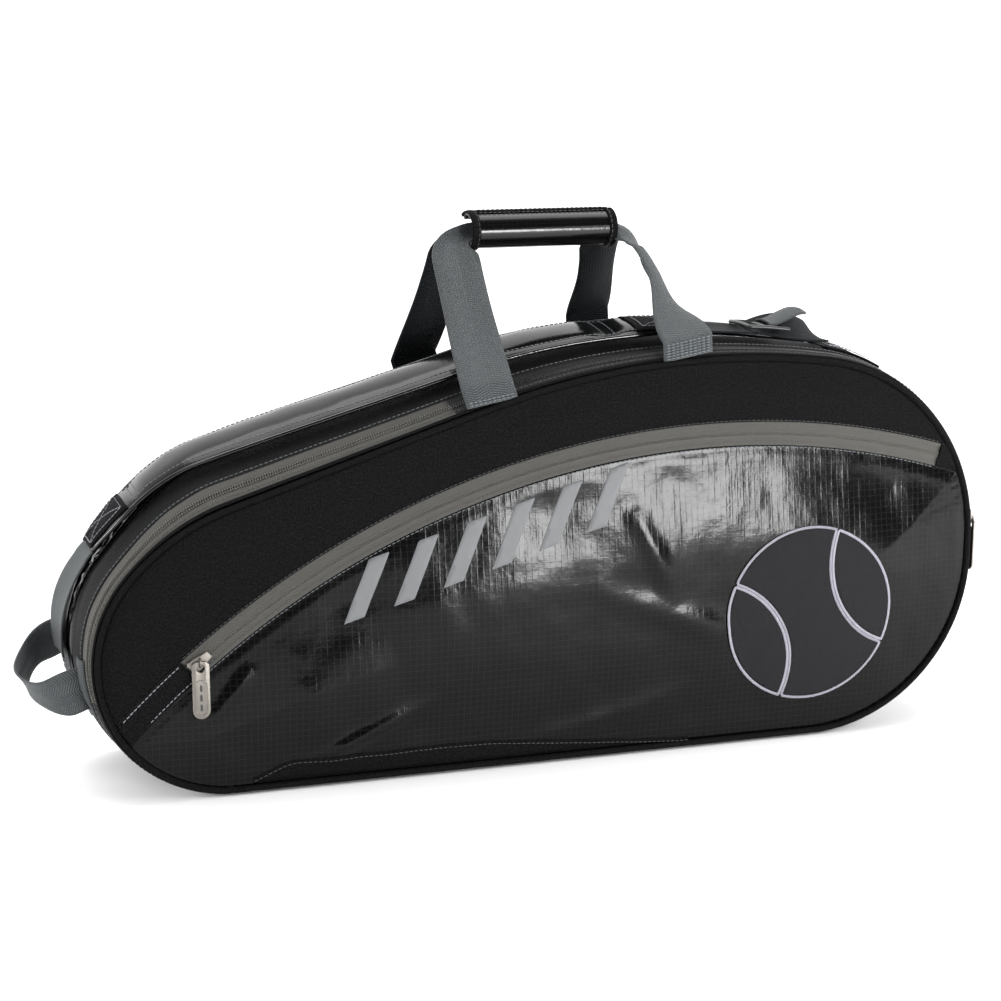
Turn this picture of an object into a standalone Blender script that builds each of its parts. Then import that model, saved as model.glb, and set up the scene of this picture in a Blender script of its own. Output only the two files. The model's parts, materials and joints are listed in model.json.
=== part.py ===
"""Racket tournament bag: two zipped main compartments, a zipped front pocket,
two carry handles joined by a wrap, a padded shoulder strap and a haul loop.

Metres, +Z up. +X runs along the length to the racket-head end, +Y to the back.
The bag stands on its flat base at z = 0, with the origin at the middle of the base.
Each main panel lies in a side frame, turned by TAPER about Z. In a side frame, x and z lie in
the panel, and depth is the distance out from the side frame's own middle plane.
"""
import math

import bmesh
import bpy
from mathutils import Matrix, Vector

BAG_NAME = "racket_tournament_bag"

# Driving dimensions
TAPER = math.radians(3.765)      # each panel turns out by this, so the racket-head end is deeper
SLOPE = math.tan(TAPER)
GAP = 0.0003                     # between pieces that touch
PANEL_DEPTH = 0.0998             # outer face of a panel's edge piping in its side frame

# The panel's edge, walked clockwise from the bottom left:
# radius (0 on a straight run), turn in degrees or length, steps, crown of the gusset at its end
EDGE_START_X = -0.275
HEAD_R = 0.165
EDGE_RUNS = (
    (0.110, 130.0, 13, 0.012),
    (0.180, 32.0, 4, 0.026),
    (0.000, 0.2218, 4, 0.022),
    (0.680, 26.0, 6, 0.007),
    (HEAD_R, 82.0, 9, 0.006),
)
TAIL_CORNER_R = 0.150            # bottom right corner, which closes the edge
TAIL_STEPS = 9
SHOULDER_SPLIT = 15              # stations where the middle gusset is seamed
HEAD_SPLIT = 27
GUSSET_SEAM = 0.01               # half the gap at those seams, in stations
BAND_INSET = 0.3                 # how far from the edge's two ends the bands stop, in stations

# Depths of the gusset's bands in a side frame
GUSSET_OUT = 0.0300
RIB_OUT = 0.0387
TWILL_OUT = 0.0677
ZIP_LINE = 0.0843
TAPE_OUT = 0.0943
BAND_THICK = 0.0020
RIB_THICK = 0.0035
RIB_PROUD = 0.0015
RIB_GAP = 0.0008                  # the rib's sides lean with the crown

# Layers of a cover
LINING_IN = 0.0765
LINING_OUT = 0.0795
SKIN_OUT = 0.0965
PANEL_IN = 0.0915
POCKET_IN = 0.0935
EMBLEM_THICK = 0.0008
PIPING_R = 0.0025
PIPING_INSET = 0.0032
PANEL_INSET = PIPING_INSET + PIPING_R + GAP
LINING_INSET = 0.0060
COVER_HINGE_DEPTH = 0.0985

# Base and divider
BASE_THICK = 0.0040
BASE_END_GAP = 0.0010
BASE_HALF_DEPTH = 0.0930
DIVIDER_THICK = 0.0060
DIVIDER_INSET = 0.0050

# The pocket's zip is one arc in the front side frame
ZIP_X = 0.145
ZIP_Z = -0.440
ZIP_R = 0.711
ZIP_HALF_WIDTH = 0.0090
ZIP_LEFT = math.radians(129.9)
ZIP_RIGHT = math.radians(73.7)
ZIP_STEPS = 26
ZIP_SEAM = 0.0006                # between the tape and the panels, which are cut on other chords
ZIP_END_STEPS = 4
HALVINGS = 40                    # to find where the zip crosses an outline
FOLD_MARGIN = math.radians(0.1)
TAPE_THICK = 0.0015
POCKET_SLIDER_AT = ZIP_LEFT - math.radians(0.9)

# Sliders and pulls
SLIDER_WIDTH = 0.0110
SLIDER_LENGTH = 0.0200
SLIDER_THICK = 0.0030
SMALL_BEVEL = 0.0008
BEVEL_SEGMENTS = 2
SHARP_ANGLE = math.radians(40.0)
LOOP_WIRE_R = 0.0006
LOOP_HEIGHT = 0.0044
PIVOT_OUT = 0.0020               # the pull's top bar, in front of the slider
LOOP_SPAN = 0.0064
LOOP_SHOULDER = 0.6              # share of the half span that the loop is wide in front
LOOP_ROOT = 0.0012               # how deep the loop's ends sit in the slider
PULL_WIDTH = 0.0140
PULL_LENGTH = 0.0460
PULL_THICK = 0.0015
PULL_EYE_R = 0.0034
PULL_BAR = 0.0022
PULL_NECK = 0.62                 # share of the half width at the top bar
PULL_SHOULDER = 0.35
PULL_STEPS = 8
EYE_STEPS = 10
MAIN_SLIDER_GAP = 0.0012
MAIN_SLIDER_AT = math.radians(4.0)
MAIN_SLIDER_STATION = 35.6

# Handles
WEBBING_WIDTH = 0.044
WEBBING_THICK = 0.0020
HANDLE_LEFT_X = -0.060
HANDLE_RIGHT_X = 0.108
HANDLE_DEPTH = 0.0975
TAB_HEIGHT = 0.0140
TAB_THICK = 0.0030
TAB_LIFT = 0.0010
HINGE_RISE = 0.0165
LEG_START = 0.0030
GRIP_Z = 0.4385
GRIP_LEFT_X = -0.066
GRIP_RIGHT_X = 0.096
FRONT_GRIP_Y = 0.0085
REAR_GRIP_Y = 0.0135
FRONT_GRIP_WIDTH = 0.016
REAR_GRIP_WIDTH = 0.012
CORNER_REACH = 0.026
CORNER_STEPS = 6
CORNER_NARROWS = 1.35            # the webbing is folded narrow before it enters the wrap
WRAP_LEFT_X = -0.050
WRAP_RIGHT_X = 0.080
WRAP_Y = -0.0060
WRAP_HALF_DEPTH = 0.0165
WRAP_HALF_HEIGHT = 0.0155
WRAP_WALL = 0.0030
WRAP_MOUTH = math.radians(50.0)
WRAP_STEPS = 20

# Haul loop on the grip end
HAUL_Z = 0.103
HAUL_ATTACH_Y = 0.046
HAUL_OUT_X = -0.4300
HAUL_PIVOT_X = -0.3930
HAUL_END_WIDTH = 0.012
HAUL_TAB_WIDTH = 0.012
HAUL_TAB_OFFSET = 0.0006
HAUL_TAB_THICK = 0.0015
HAUL_STAND_OFF = 0.0030          # the loop's ends, in front of the gusset
HAUL_SQUARENESS = 0.6
HAUL_PINCH_START = 0.002         # the webbing is pinched this far out, and full width a run later
HAUL_PINCH_RUN = 0.012
HAUL_STEPS = 12

# Shoulder strap along the top
STRAP_LEFT_Y = 0.016             # it crosses from the middle to the front as it nears the head end
STRAP_RIGHT_Y = -0.066
STRAP_PAD_WIDTH = 0.050
STRAP_PAD_THICK = 0.0100
STRAP_WEB_WIDTH = 0.038
STRAP_LIFT = 0.0028
STRAP_SLACK = 0.0050
STRAP_WEB_RISE = 0.0035
ANCHOR_LIFT = 0.0022
STRAP_FIRST = 8.9                # stations along the edge where the strap's pieces begin and end
PAD_FIRST = 13.0
PAD_LAST = 25.1
STRAP_LAST = 27.3
ANCHOR_LAST = 29.4
STRAP_STEP = 0.45
ANCHOR_FIRST = 7.8
STRAP_END_GAP = 0.06             # in stations
LOCK_WIDTH = 0.048
LOCK_LENGTH = 0.040
LOCK_THICK = 0.0030
LOCK_SLOT = 0.006
LOCK_BAR = 0.006
LOCK_RIM = 0.008                 # both rims together
LOCK_LIFT = 0.0015
LOCK_SLACK = 0.25                # share of the strap's slack at the lock
LOCK_AT = 26.1
LOCK_SPAN = 0.4                  # stations each way that set the lock's slope

# Emblem: a plain ball sign in three appliqué pieces
EMBLEM_X = 0.222
EMBLEM_Z = 0.112
EMBLEM_R = 0.076
EMBLEM_SEAM_R = 0.078
EMBLEM_SEAM_X = 0.104
EMBLEM_SEAM_GAP = 0.0025
EMBLEM_TILT = math.radians(24.0)
EMBLEM_STEPS = 14

WELD_DISTANCE = 0.00001
MIRROR_MERGE = 0.0001

COLOURS = {
    "oxford": ((0.012, 0.012, 0.014), 0.80, 0.0),
    "vinyl": ((0.010, 0.010, 0.011), 0.18, 0.0),
    "twill": ((0.015, 0.015, 0.016), 0.70, 0.0),
    "zip_tape": ((0.130, 0.128, 0.112), 0.75, 0.0),
    "webbing": ((0.075, 0.095, 0.105), 0.70, 0.0),
    "lining": ((0.060, 0.062, 0.065), 0.75, 0.0),
    "metal": ((0.430, 0.390, 0.350), 0.35, 1.0),
    "plastic": ((0.020, 0.020, 0.022), 0.40, 0.0),
    "applique": ((0.025, 0.024, 0.027), 0.85, 0.0),
    "sleeve": ((0.010, 0.010, 0.011), 0.25, 0.0),
}

FRONT = -1
REAR = 1


def clear_scene():
    for item in list(bpy.data.objects):
        bpy.data.objects.remove(item, do_unlink=True)


def make_collection():
    collection = bpy.data.collections.new(BAG_NAME)
    bpy.context.scene.collection.children.link(collection)
    return collection


def make_materials():
    made = {}
    for name, (colour, roughness, metallic) in COLOURS.items():
        material = bpy.data.materials.new(name)
        material.use_nodes = True
        shader = material.node_tree.nodes["Principled BSDF"]
        shader.inputs["Base Color"].default_value = (*colour, 1.0)
        shader.inputs["Roughness"].default_value = roughness
        shader.inputs["Metallic"].default_value = metallic
        made[name] = material
    return made


def add_object(name, data, material, parent=None):
    item = bpy.data.objects.new(name, data)
    data.materials.clear()
    data.materials.append(MATERIALS[material])
    COLLECTION.objects.link(item)
    item.parent = parent
    return item


def add_empty(name, location, rotation=(0.0, 0.0, 0.0), parent=None):
    item = bpy.data.objects.new(name, None)
    item.location = location
    item.rotation_euler = rotation
    item.parent = parent
    COLLECTION.objects.link(item)
    return item


def side_matrix(side):
    """From a side frame to the bag's frame."""
    shift = Matrix.Translation((PANEL_DEPTH * math.sin(TAPER), 0.0, 0.0))
    return shift @ Matrix.Rotation(side * TAPER, 4, "Z")


# The edge and the crowned gusset surface

def smooth(t):
    return t * t * (3.0 - 2.0 * t)


def walk_edge():
    """Stations (x, z, outward angle, crown) clockwise round the panel's edge."""
    x, z, angle, crown = EDGE_START_X, 0.0, 270.0, 0.0
    stations = [(x, z, angle, crown)]
    for radius, amount, steps, crown_end in EDGE_RUNS:
        x, z, angle, crown = add_run(stations, radius, amount, steps, crown_end)
    x, z, angle, crown = add_run(stations, 0.0, z - TAIL_CORNER_R, 1, crown)
    add_run(stations, TAIL_CORNER_R, 90.0, TAIL_STEPS, 0.0)
    return stations


def add_run(stations, radius, amount, steps, crown_end):
    x, z, angle, crown = stations[-1]
    for step in range(1, steps + 1):
        part = step / steps
        height = crown + (crown_end - crown) * smooth(part)
        if radius:
            turned = angle - amount * part
            first, last = math.radians(angle), math.radians(turned)
            stations.append((x + radius * (math.cos(last) - math.cos(first)),
                             z + radius * (math.sin(last) - math.sin(first)), turned, height))
        else:
            heading = math.radians(angle - 90.0)
            stations.append((x + amount * part * math.cos(heading),
                             z + amount * part * math.sin(heading), angle, height))
    return stations[-1]


def station(at):
    """The station at a whole or part number."""
    low = min(int(at), len(STATIONS) - 2)
    part = at - low
    return [a + (b - a) * part for a, b in zip(STATIONS[low], STATIONS[low + 1])]


def closed_edge(inset):
    """The panel's edge as a closed outline, moved inwards."""
    points = []
    for x, z, angle, _ in STATIONS:
        turn = math.radians(angle)
        points.append((x - inset * math.cos(turn), z - inset * math.sin(turn)))
    return points


def crown_point(at, depth, lift=0.0):
    """A point on the gusset's crowned surface, in a side frame with depth positive outwards."""
    x, z, angle, crown = station(at)
    across = (depth + SLOPE * x) / (COVER_HINGE_DEPTH + SLOPE * x)
    height = crown * (1.0 - across * across) + lift
    turn = math.radians(angle)
    return Vector((x + height * math.cos(turn), depth, z + height * math.sin(turn)))


def middle_point(at, y, lift=0.0):
    """A point on the crowned surface at y in the bag's frame."""
    side = REAR if y >= 0.0 else FRONT
    x = station(at)[0]
    depth = abs(y) / math.cos(TAPER) - SLOPE * x
    point = crown_point(at, depth, lift)
    return side_matrix(side) @ Vector((point.x, side * point.y, point.z))


def add_grid(name, rows, material, parent, flip=False):
    """A sheet from rows of points, with its faces towards the outside."""
    vertices = [point for row in rows for point in row]
    count = len(rows[0])
    faces = []
    for r in range(len(rows) - 1):
        for i in range(count - 1):
            a, b = r * count + i, (r + 1) * count + i
            face = (a, b, b + 1, a + 1)
            faces.append(face[::-1] if flip else face)
    mesh = bpy.data.meshes.new(name)
    mesh.from_pydata(vertices, [], faces)
    mesh.shade_smooth()
    return add_object(name, mesh, material, parent)


def thicken(item, thickness, offset=-1.0):
    solid = item.modifiers.new("thickness", "SOLIDIFY")
    solid.thickness = thickness
    solid.offset = offset
    return item


# Gusset bands

def places_between(first, last):
    """The whole stations between two places on the edge, and those two places."""
    whole = range(math.ceil(first), math.floor(last) + 1)
    return [first] + [at for at in whole if first < at < last] + [last]


def add_band(name, side, depths, material, parent, thickness=BAND_THICK, lift=0.0):
    """A strip of the gusset, from one end of the base over the top to the other."""
    places = places_between(BAND_INSET, len(STATIONS) - 1 - BAND_INSET)
    rows = []
    for depth in depths:
        points = [crown_point(at, depth, lift) for at in places]
        rows.append([(p.x, side * p.y, p.z) for p in points])
    return thicken(add_grid(name, rows, material, parent, flip=side > 0), thickness)


def add_middle_gusset(name, first, last):
    """One seamed length of the middle gusset, mirrored about the centre plane."""
    crest, half, outer = [], [], []
    for at in places_between(first, last):
        edge = crown_point(at, GUSSET_OUT)
        edge = side_matrix(FRONT) @ Vector((edge.x, -edge.y, edge.z))
        top = middle_point(at, 0.0)
        crest.append((top.x, 0.0, top.z))
        half.append(middle_point(at, 0.5 * edge.y))
        outer.append(edge)
    item = add_grid(name, [crest, half, outer], "vinyl", None)
    mirror = item.modifiers.new("both_sides", "MIRROR")
    mirror.use_axis = (False, True, False)
    mirror.merge_threshold = MIRROR_MERGE
    return thicken(item, BAND_THICK)


# Flat pieces

def add_plate(name, outlines, depth_in, depth_out, material, parent, side=FRONT):
    """A flat piece in a side frame, from outlines of (x, z) points."""
    curve = bpy.data.curves.new(name, "CURVE")
    curve.dimensions = "2D"
    curve.fill_mode = "BOTH"
    curve.extrude = 0.5 * (depth_out - depth_in)
    for outline in outlines:
        spline = curve.splines.new("POLY")
        spline.points.add(len(outline) - 1)
        for point, (x, z) in zip(spline.points, outline):
            point.co = (x, z, 0.0, 1.0)
        spline.use_cyclic_u = True
    item = add_object(name, curve, material, parent)
    item.rotation_euler = (math.radians(90.0), 0.0, 0.0)
    item.location = (0.0, side * 0.5 * (depth_in + depth_out), 0.0)
    return item


def arc_points(radius, first, last, steps=ZIP_STEPS):
    """Points about the centre of the pocket zip's arc."""
    turns = [first + (last - first) * step / steps for step in range(steps + 1)]
    return [(ZIP_X + radius * math.cos(t), ZIP_Z + radius * math.sin(t)) for t in turns]


def zip_distance(point):
    return math.hypot(point[0] - ZIP_X, point[1] - ZIP_Z)


def zip_angle(point):
    return math.atan2(point[1] - ZIP_Z, point[0] - ZIP_X)


def cut_by_zip(outline, radius, inside):
    """The run of a closed outline inside or outside the zip's circle, with its two cut points."""
    count = len(outline)
    kept = [(zip_distance(point) < radius) == inside for point in outline]
    first = next(i for i in range(count) if kept[i] and not kept[i - 1])
    run = []
    index = first
    while kept[index % count]:
        run.append(outline[index % count])
        index += 1
    start = crossing(outline[first - 1], outline[first], radius)
    end = crossing(outline[(index - 1) % count], outline[index % count], radius)
    return [start] + run + [end]


def crossing(a, b, radius):
    """The point of the line from a to b that is a radius from the zip's centre."""
    near, far = 0.0, 1.0
    starts_inside = zip_distance(a) < radius
    for _ in range(HALVINGS):
        halfway = 0.5 * (near + far)
        point = (a[0] + (b[0] - a[0]) * halfway, a[1] + (b[1] - a[1]) * halfway)
        if (zip_distance(point) < radius) == starts_inside:
            near = halfway
        else:
            far = halfway
    return point


def add_front_panel(frame):
    edge = closed_edge(PANEL_INSET)
    above = cut_by_zip(edge, ZIP_R + ZIP_HALF_WIDTH + ZIP_SEAM, inside=False)
    back = arc_points(ZIP_R + ZIP_HALF_WIDTH + ZIP_SEAM, zip_angle(above[-1]), zip_angle(above[0]))
    add_plate("front_yoke_panel", [above + back[1:-1]], PANEL_IN, SKIN_OUT, "oxford", frame)
    radius = ZIP_R - ZIP_HALF_WIDTH - ZIP_SEAM
    below = cut_by_zip(edge, radius, inside=True)
    left = arc_points(radius, zip_angle(below[-1]), ZIP_LEFT, ZIP_END_STEPS)
    right = arc_points(radius, ZIP_RIGHT, zip_angle(below[0]), ZIP_END_STEPS)
    add_plate("pocket_panel", [below + left[1:] + right[:-1]], POCKET_IN, SKIN_OUT, "vinyl", frame)
    lip = arc_points(radius, ZIP_LEFT - FOLD_MARGIN, ZIP_RIGHT + FOLD_MARGIN)
    add_plate("pocket_lip_panel", [lip], POCKET_IN, SKIN_OUT, "vinyl", frame)


def add_zip_tape(name, radius_in, radius_out, first, last, frame):
    outline = arc_points(radius_out, first, last) + arc_points(radius_in, last, first)
    return add_plate(name, [outline], SKIN_OUT - TAPE_THICK, SKIN_OUT, "zip_tape", frame)


def add_pocket_zip(frame):
    margin = 2.0 * FOLD_MARGIN
    top, bottom = ZIP_R + ZIP_HALF_WIDTH, ZIP_R - ZIP_HALF_WIDTH
    half_gap = 0.5 * GAP
    add_zip_tape("pocket_zip_tape_upper", ZIP_R + half_gap, top, ZIP_LEFT, ZIP_RIGHT, frame)
    add_zip_tape("pocket_zip_tape_lower", bottom, ZIP_R - half_gap, ZIP_LEFT - margin,
                 ZIP_RIGHT + margin, frame)
    edge = closed_edge(PANEL_INSET)
    high, low = cut_by_zip(edge, top, inside=False), cut_by_zip(edge, bottom, inside=True)
    for name, start, upper, lower in (("left", ZIP_LEFT + margin, high[0], low[-1]),
                                      ("right", ZIP_RIGHT - margin, high[-1], low[0])):
        outline = arc_points(top, start, zip_angle(upper), ZIP_END_STEPS)
        outline += arc_points(bottom, zip_angle(lower), start, ZIP_END_STEPS)
        add_plate("pocket_zip_end_" + name, [outline], SKIN_OUT - TAPE_THICK, SKIN_OUT, "oxford",
                  frame)


def ball_point(x, z):
    """From the emblem's own frame to the panel's."""
    cos, sin = math.cos(EMBLEM_TILT), math.sin(EMBLEM_TILT)
    return (EMBLEM_X + x * cos - z * sin, EMBLEM_Z + x * sin + z * cos)


def arc_about(x, radius, first, last):
    turns = [first + (last - first) * step / EMBLEM_STEPS for step in range(EMBLEM_STEPS + 1)]
    return [(x + radius * math.cos(t), radius * math.sin(t)) for t in turns]


def lens_angles(seam_radius):
    """Where a seam circle about EMBLEM_SEAM_X meets the ball's outline, seen from each centre."""
    x = (EMBLEM_R ** 2 - seam_radius ** 2 + EMBLEM_SEAM_X ** 2) / (2.0 * EMBLEM_SEAM_X)
    z = math.sqrt(EMBLEM_R ** 2 - x * x)
    return math.atan2(z, x), math.atan2(z, x - EMBLEM_SEAM_X)


def add_emblem(frame):
    """A ball sign: a middle piece and two side lobes, parted by the ball's seams."""
    ball, seam = lens_angles(EMBLEM_SEAM_R - EMBLEM_SEAM_GAP)
    lobe = arc_about(0.0, EMBLEM_R, -ball, ball)
    lobe += arc_about(EMBLEM_SEAM_X, EMBLEM_SEAM_R - EMBLEM_SEAM_GAP, seam, 2 * math.pi - seam)[1:-1]
    ball, seam = lens_angles(EMBLEM_SEAM_R)
    waist = arc_about(0.0, EMBLEM_R, ball, math.pi - ball)
    waist += arc_about(-EMBLEM_SEAM_X, EMBLEM_SEAM_R, math.pi - seam, seam - math.pi)[1:-1]
    waist += arc_about(0.0, EMBLEM_R, math.pi + ball, 2 * math.pi - ball)
    waist += arc_about(EMBLEM_SEAM_X, EMBLEM_SEAM_R, 2 * math.pi - seam, seam)[1:-1]
    shapes = {"emblem_lobe_right": lobe, "emblem_lobe_left": [(-x, z) for x, z in lobe],
              "emblem_waist": waist}
    depth = SKIN_OUT + GAP
    for name, outline in shapes.items():
        placed = [ball_point(x, z) for x, z in outline]
        add_plate(name, [placed], depth, depth + EMBLEM_THICK, "applique", frame)


def add_edge_piping(name, side, frame):
    curve = bpy.data.curves.new(name, "CURVE")
    curve.dimensions = "3D"
    curve.bevel_depth = PIPING_R
    curve.bevel_resolution = 1
    spline = curve.splines.new("POLY")
    path = closed_edge(PIPING_INSET)
    spline.points.add(len(path) - 1)
    for point, (x, z) in zip(spline.points, path):
        point.co = (x, side * (PANEL_DEPTH - PIPING_R), z, 1.0)
    spline.use_cyclic_u = True
    add_object(name, curve, "oxford", frame)


# Sliders and pulls

def curve_to_mesh(item):
    """Turns a curve object into a closed mesh object of the same name and place."""
    name, parent = item.name, item.parent
    graph = bpy.context.evaluated_depsgraph_get()
    mesh = bpy.data.meshes.new_from_object(item.evaluated_get(graph))
    weld(mesh)
    matrix = item.matrix_world.copy()
    bpy.data.objects.remove(item, do_unlink=True)
    made = bpy.data.objects.new(name, mesh)
    COLLECTION.objects.link(made)
    made.parent = parent
    made.matrix_world = matrix
    return made


def weld(mesh):
    work = bmesh.new()
    work.from_mesh(mesh)
    bmesh.ops.remove_doubles(work, verts=work.verts, dist=WELD_DISTANCE)
    bmesh.ops.recalc_face_normals(work, faces=work.faces)
    work.to_mesh(mesh)
    work.free()


def box_mesh(name, size, matrix=Matrix.Identity(4), bevel=0.0):
    work = bmesh.new()
    bmesh.ops.create_cube(work, size=1.0, matrix=matrix @ Matrix.Diagonal((*size, 1.0)))
    if bevel:
        bmesh.ops.bevel(work, geom=work.edges[:], offset=bevel, segments=BEVEL_SEGMENTS,
                        profile=0.5, affect="EDGES")
    mesh = bpy.data.meshes.new(name)
    work.to_mesh(mesh)
    work.free()
    mesh.shade_smooth()
    mesh.set_sharp_from_angle(angle=SHARP_ANGLE)
    return mesh


def add_slider(name, location, rotation, tilt, parent):
    """A slider on its tape: the body's back lies at y = 0, and its wire loop stands up front.

    The loop is upright, and the body turns by tilt to follow the tape.
    """
    turn = Matrix.Rotation(tilt, 4, "Y") @ Matrix.Translation((0.0, -0.5 * SLIDER_THICK, 0.0))
    size = (SLIDER_WIDTH, SLIDER_THICK, SLIDER_LENGTH)
    body = add_object(name, box_mesh(name, size, turn, SMALL_BEVEL), "metal", parent)
    curve = bpy.data.curves.new(name + "_loop", "CURVE")
    curve.dimensions = "3D"
    curve.bevel_depth = LOOP_WIRE_R
    curve.bevel_resolution = 1
    curve.use_fill_caps = True
    half, rise = 0.5 * LOOP_SPAN, LOOP_HEIGHT
    shoulder = LOOP_SHOULDER * half
    route = ((LOOP_ROOT, half), (-0.5 * rise, half), (-rise, shoulder), (-rise, -shoulder),
             (-0.5 * rise, -half), (LOOP_ROOT, -half))
    spline = curve.splines.new("POLY")
    spline.points.add(len(route) - 1)
    for point, (out, up) in zip(spline.points, route):
        point.co = (0.0, out - SLIDER_THICK, up, 1.0)
    cutter = add_object(name + "_loop", curve, "metal", parent)
    cutter = curve_to_mesh(cutter)
    COLLECTION.objects.unlink(cutter)
    CUTTERS.objects.link(cutter)
    cutter.hide_render = True
    cutter.display_type = "WIRE"
    union = body.modifiers.new("loop", "BOOLEAN")
    union.operation = "UNION"
    union.solver = "EXACT"
    union.object = cutter
    for item in (body, cutter):
        item.location = location
        item.rotation_euler = rotation
    return body


def add_pull(name, location, rotation, parent):
    """A flat pull that hangs from its own top bar, which is the pivot."""
    half = 0.5 * PULL_WIDTH
    low = -PULL_LENGTH + half
    top = 0.5 * PULL_BAR
    neck = PULL_NECK * half
    shoulder = top - PULL_SHOULDER * half
    outline = [(-neck, top), (-half, shoulder), (-half, low)]
    outline += [(half * math.cos(t), low + half * math.sin(t))
                for t in (math.pi * (1.0 + step / PULL_STEPS) for step in range(1, PULL_STEPS))]
    outline += [(half, low), (half, shoulder), (neck, top)]
    eye_z = -0.5 * PULL_BAR - PULL_EYE_R
    eye = [(PULL_EYE_R * math.cos(t), eye_z + PULL_EYE_R * math.sin(t))
           for t in (2 * math.pi * step / EYE_STEPS for step in range(EYE_STEPS))]
    item = add_plate(name, [outline, eye], -0.5 * PULL_THICK, 0.5 * PULL_THICK, "metal", parent)
    item.location = location
    item.rotation_euler = (rotation[0] + math.radians(90.0), rotation[1], rotation[2])
    return item


def add_pocket_slider(frame):
    x = ZIP_X + ZIP_R * math.cos(POCKET_SLIDER_AT)
    z = ZIP_Z + ZIP_R * math.sin(POCKET_SLIDER_AT)
    place = (x, -(SKIN_OUT + GAP), z)
    add_slider("pocket_slider", place, (0.0, 0.0, 0.0), math.pi - POCKET_SLIDER_AT, frame)
    pull = add_empty("pocket_pull_pivot", (x, -(SKIN_OUT + GAP + SLIDER_THICK + PIVOT_OUT), z),
                     parent=frame)
    add_pull("pocket_pull", (0.0, 0.0, 0.0), (0.0, 0.0, 0.0), pull)


def head_arc_centre():
    """Centre of the upper arc at the racket-head end, about which the main sliders run."""
    x, z, angle, _ = STATIONS[HEAD_SPLIT]
    turn = math.radians(angle)
    return x - HEAD_R * math.cos(turn), z - HEAD_R * math.sin(turn)


def add_main_slider(prefix, side, frame):
    """The slider of a main zip, parked low on the racket-head end."""
    x, z = head_arc_centre()
    surface = crown_point(MAIN_SLIDER_STATION, ZIP_LINE)
    reach = math.hypot(surface.x - x, surface.z - z) + MAIN_SLIDER_GAP
    turn = MAIN_SLIDER_AT
    across = math.radians(90.0)
    place = (x + reach * math.cos(turn), side * ZIP_LINE, z + reach * math.sin(turn))
    pivot = add_empty(prefix + "_slider_frame", place, (0.0, -turn, 0.0), parent=frame)
    add_slider(prefix + "_zip_slider", (0.0, 0.0, 0.0), (0.0, 0.0, across), 0.0, pivot)
    out = SLIDER_THICK + PIVOT_OUT
    hang = add_empty(prefix + "_pull_pivot", (out, 0.0, 0.0), (0.0, turn, 0.0), parent=pivot)
    add_pull(prefix + "_zip_pull", (0.0, 0.0, 0.0), (0.0, 0.0, across), hang)


# Webbing

def add_ribbon(name, centres, widths, acrosses, thickness, material, parent=None, offset=0.0):
    """A flat strip along centres, with its width along acrosses."""
    rows = [[], []]
    for centre, width, across in zip(centres, widths, acrosses):
        step = across.normalized() * (0.5 * width)
        rows[0].append(centre - step)
        rows[1].append(centre + step)
    return thicken(add_grid(name, rows, material, parent), thickness, offset)


def seam_station(x):
    """The station number of the top edge at x."""
    low = next(i for i in range(SHOULDER_SPLIT, len(STATIONS)) if STATIONS[i + 1][0] > x)
    return low + (x - STATIONS[low][0]) / (STATIONS[low + 1][0] - STATIONS[low][0])


def handle_pivot(side, x):
    """The end of a handle's fold line over the edge seam at x, in the bag's frame."""
    at = seam_station(x)
    x, z, angle, _ = station(at)
    turn = math.radians(angle)
    point = Vector((x + HINGE_RISE * math.cos(turn), side * HANDLE_DEPTH,
                    z + HINGE_RISE * math.sin(turn)))
    return side_matrix(side) @ point


def add_handle_tab(name, side, x, frame):
    """The stitched foot of a handle leg on the panel's edge seam."""
    x, z, angle, _ = station(seam_station(x))
    turn = math.radians(angle)
    rise = 0.5 * TAB_HEIGHT + TAB_LIFT
    place = Matrix.Translation((x + rise * math.cos(turn), side * HANDLE_DEPTH,
                                z + rise * math.sin(turn)))
    place = place @ Matrix.Rotation(math.pi / 2 - turn, 4, "Y")
    mesh = box_mesh(name, (WEBBING_WIDTH, TAB_THICK, TAB_HEIGHT), bevel=SMALL_BEVEL)
    tab = add_object(name, mesh, "webbing", frame)
    tab.location = place.to_translation()
    tab.rotation_euler = place.to_euler()


def handle_path(side, grip_y, grip_width):
    """Centres, widths and width directions of a handle's webbing, in the bag's frame."""
    left, right = handle_pivot(side, HANDLE_LEFT_X), handle_pivot(side, HANDLE_RIGHT_X)
    fold = (right - left).normalized()
    centres, widths, acrosses = [], [], []
    for foot, grip_x, inwards in ((left, GRIP_LEFT_X, 1.0), (right, GRIP_RIGHT_X, -1.0)):
        corner = Vector((grip_x, side * grip_y, GRIP_Z))
        up = (corner - foot).normalized()
        normal = up.cross(Vector((1.0, 0.0, 0.0))).normalized()
        start = foot + up * LEG_START
        bend = corner - up * CORNER_REACH
        end = corner + Vector((inwards * CORNER_REACH, 0.0, 0.0))
        points = [start, start.lerp(bend, 0.5)]
        sizes = [WEBBING_WIDTH, WEBBING_WIDTH]
        sides = [fold, normal.cross(up)]
        for step in range(CORNER_STEPS + 1):
            part = step / CORNER_STEPS
            narrowed = smooth(min(1.0, part * CORNER_NARROWS))
            points.append(bend.lerp(corner, part).lerp(corner.lerp(end, part), part))
            tangent = up.lerp(Vector((inwards, 0.0, 0.0)), part).normalized()
            sides.append(normal.cross(tangent))
            sizes.append(WEBBING_WIDTH + (grip_width - WEBBING_WIDTH) * narrowed)
        if inwards < 0:
            points.reverse()
            sizes.reverse()
            sides.reverse()
        centres += points
        widths += sizes
        acrosses += sides
    return centres, widths, acrosses


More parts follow.
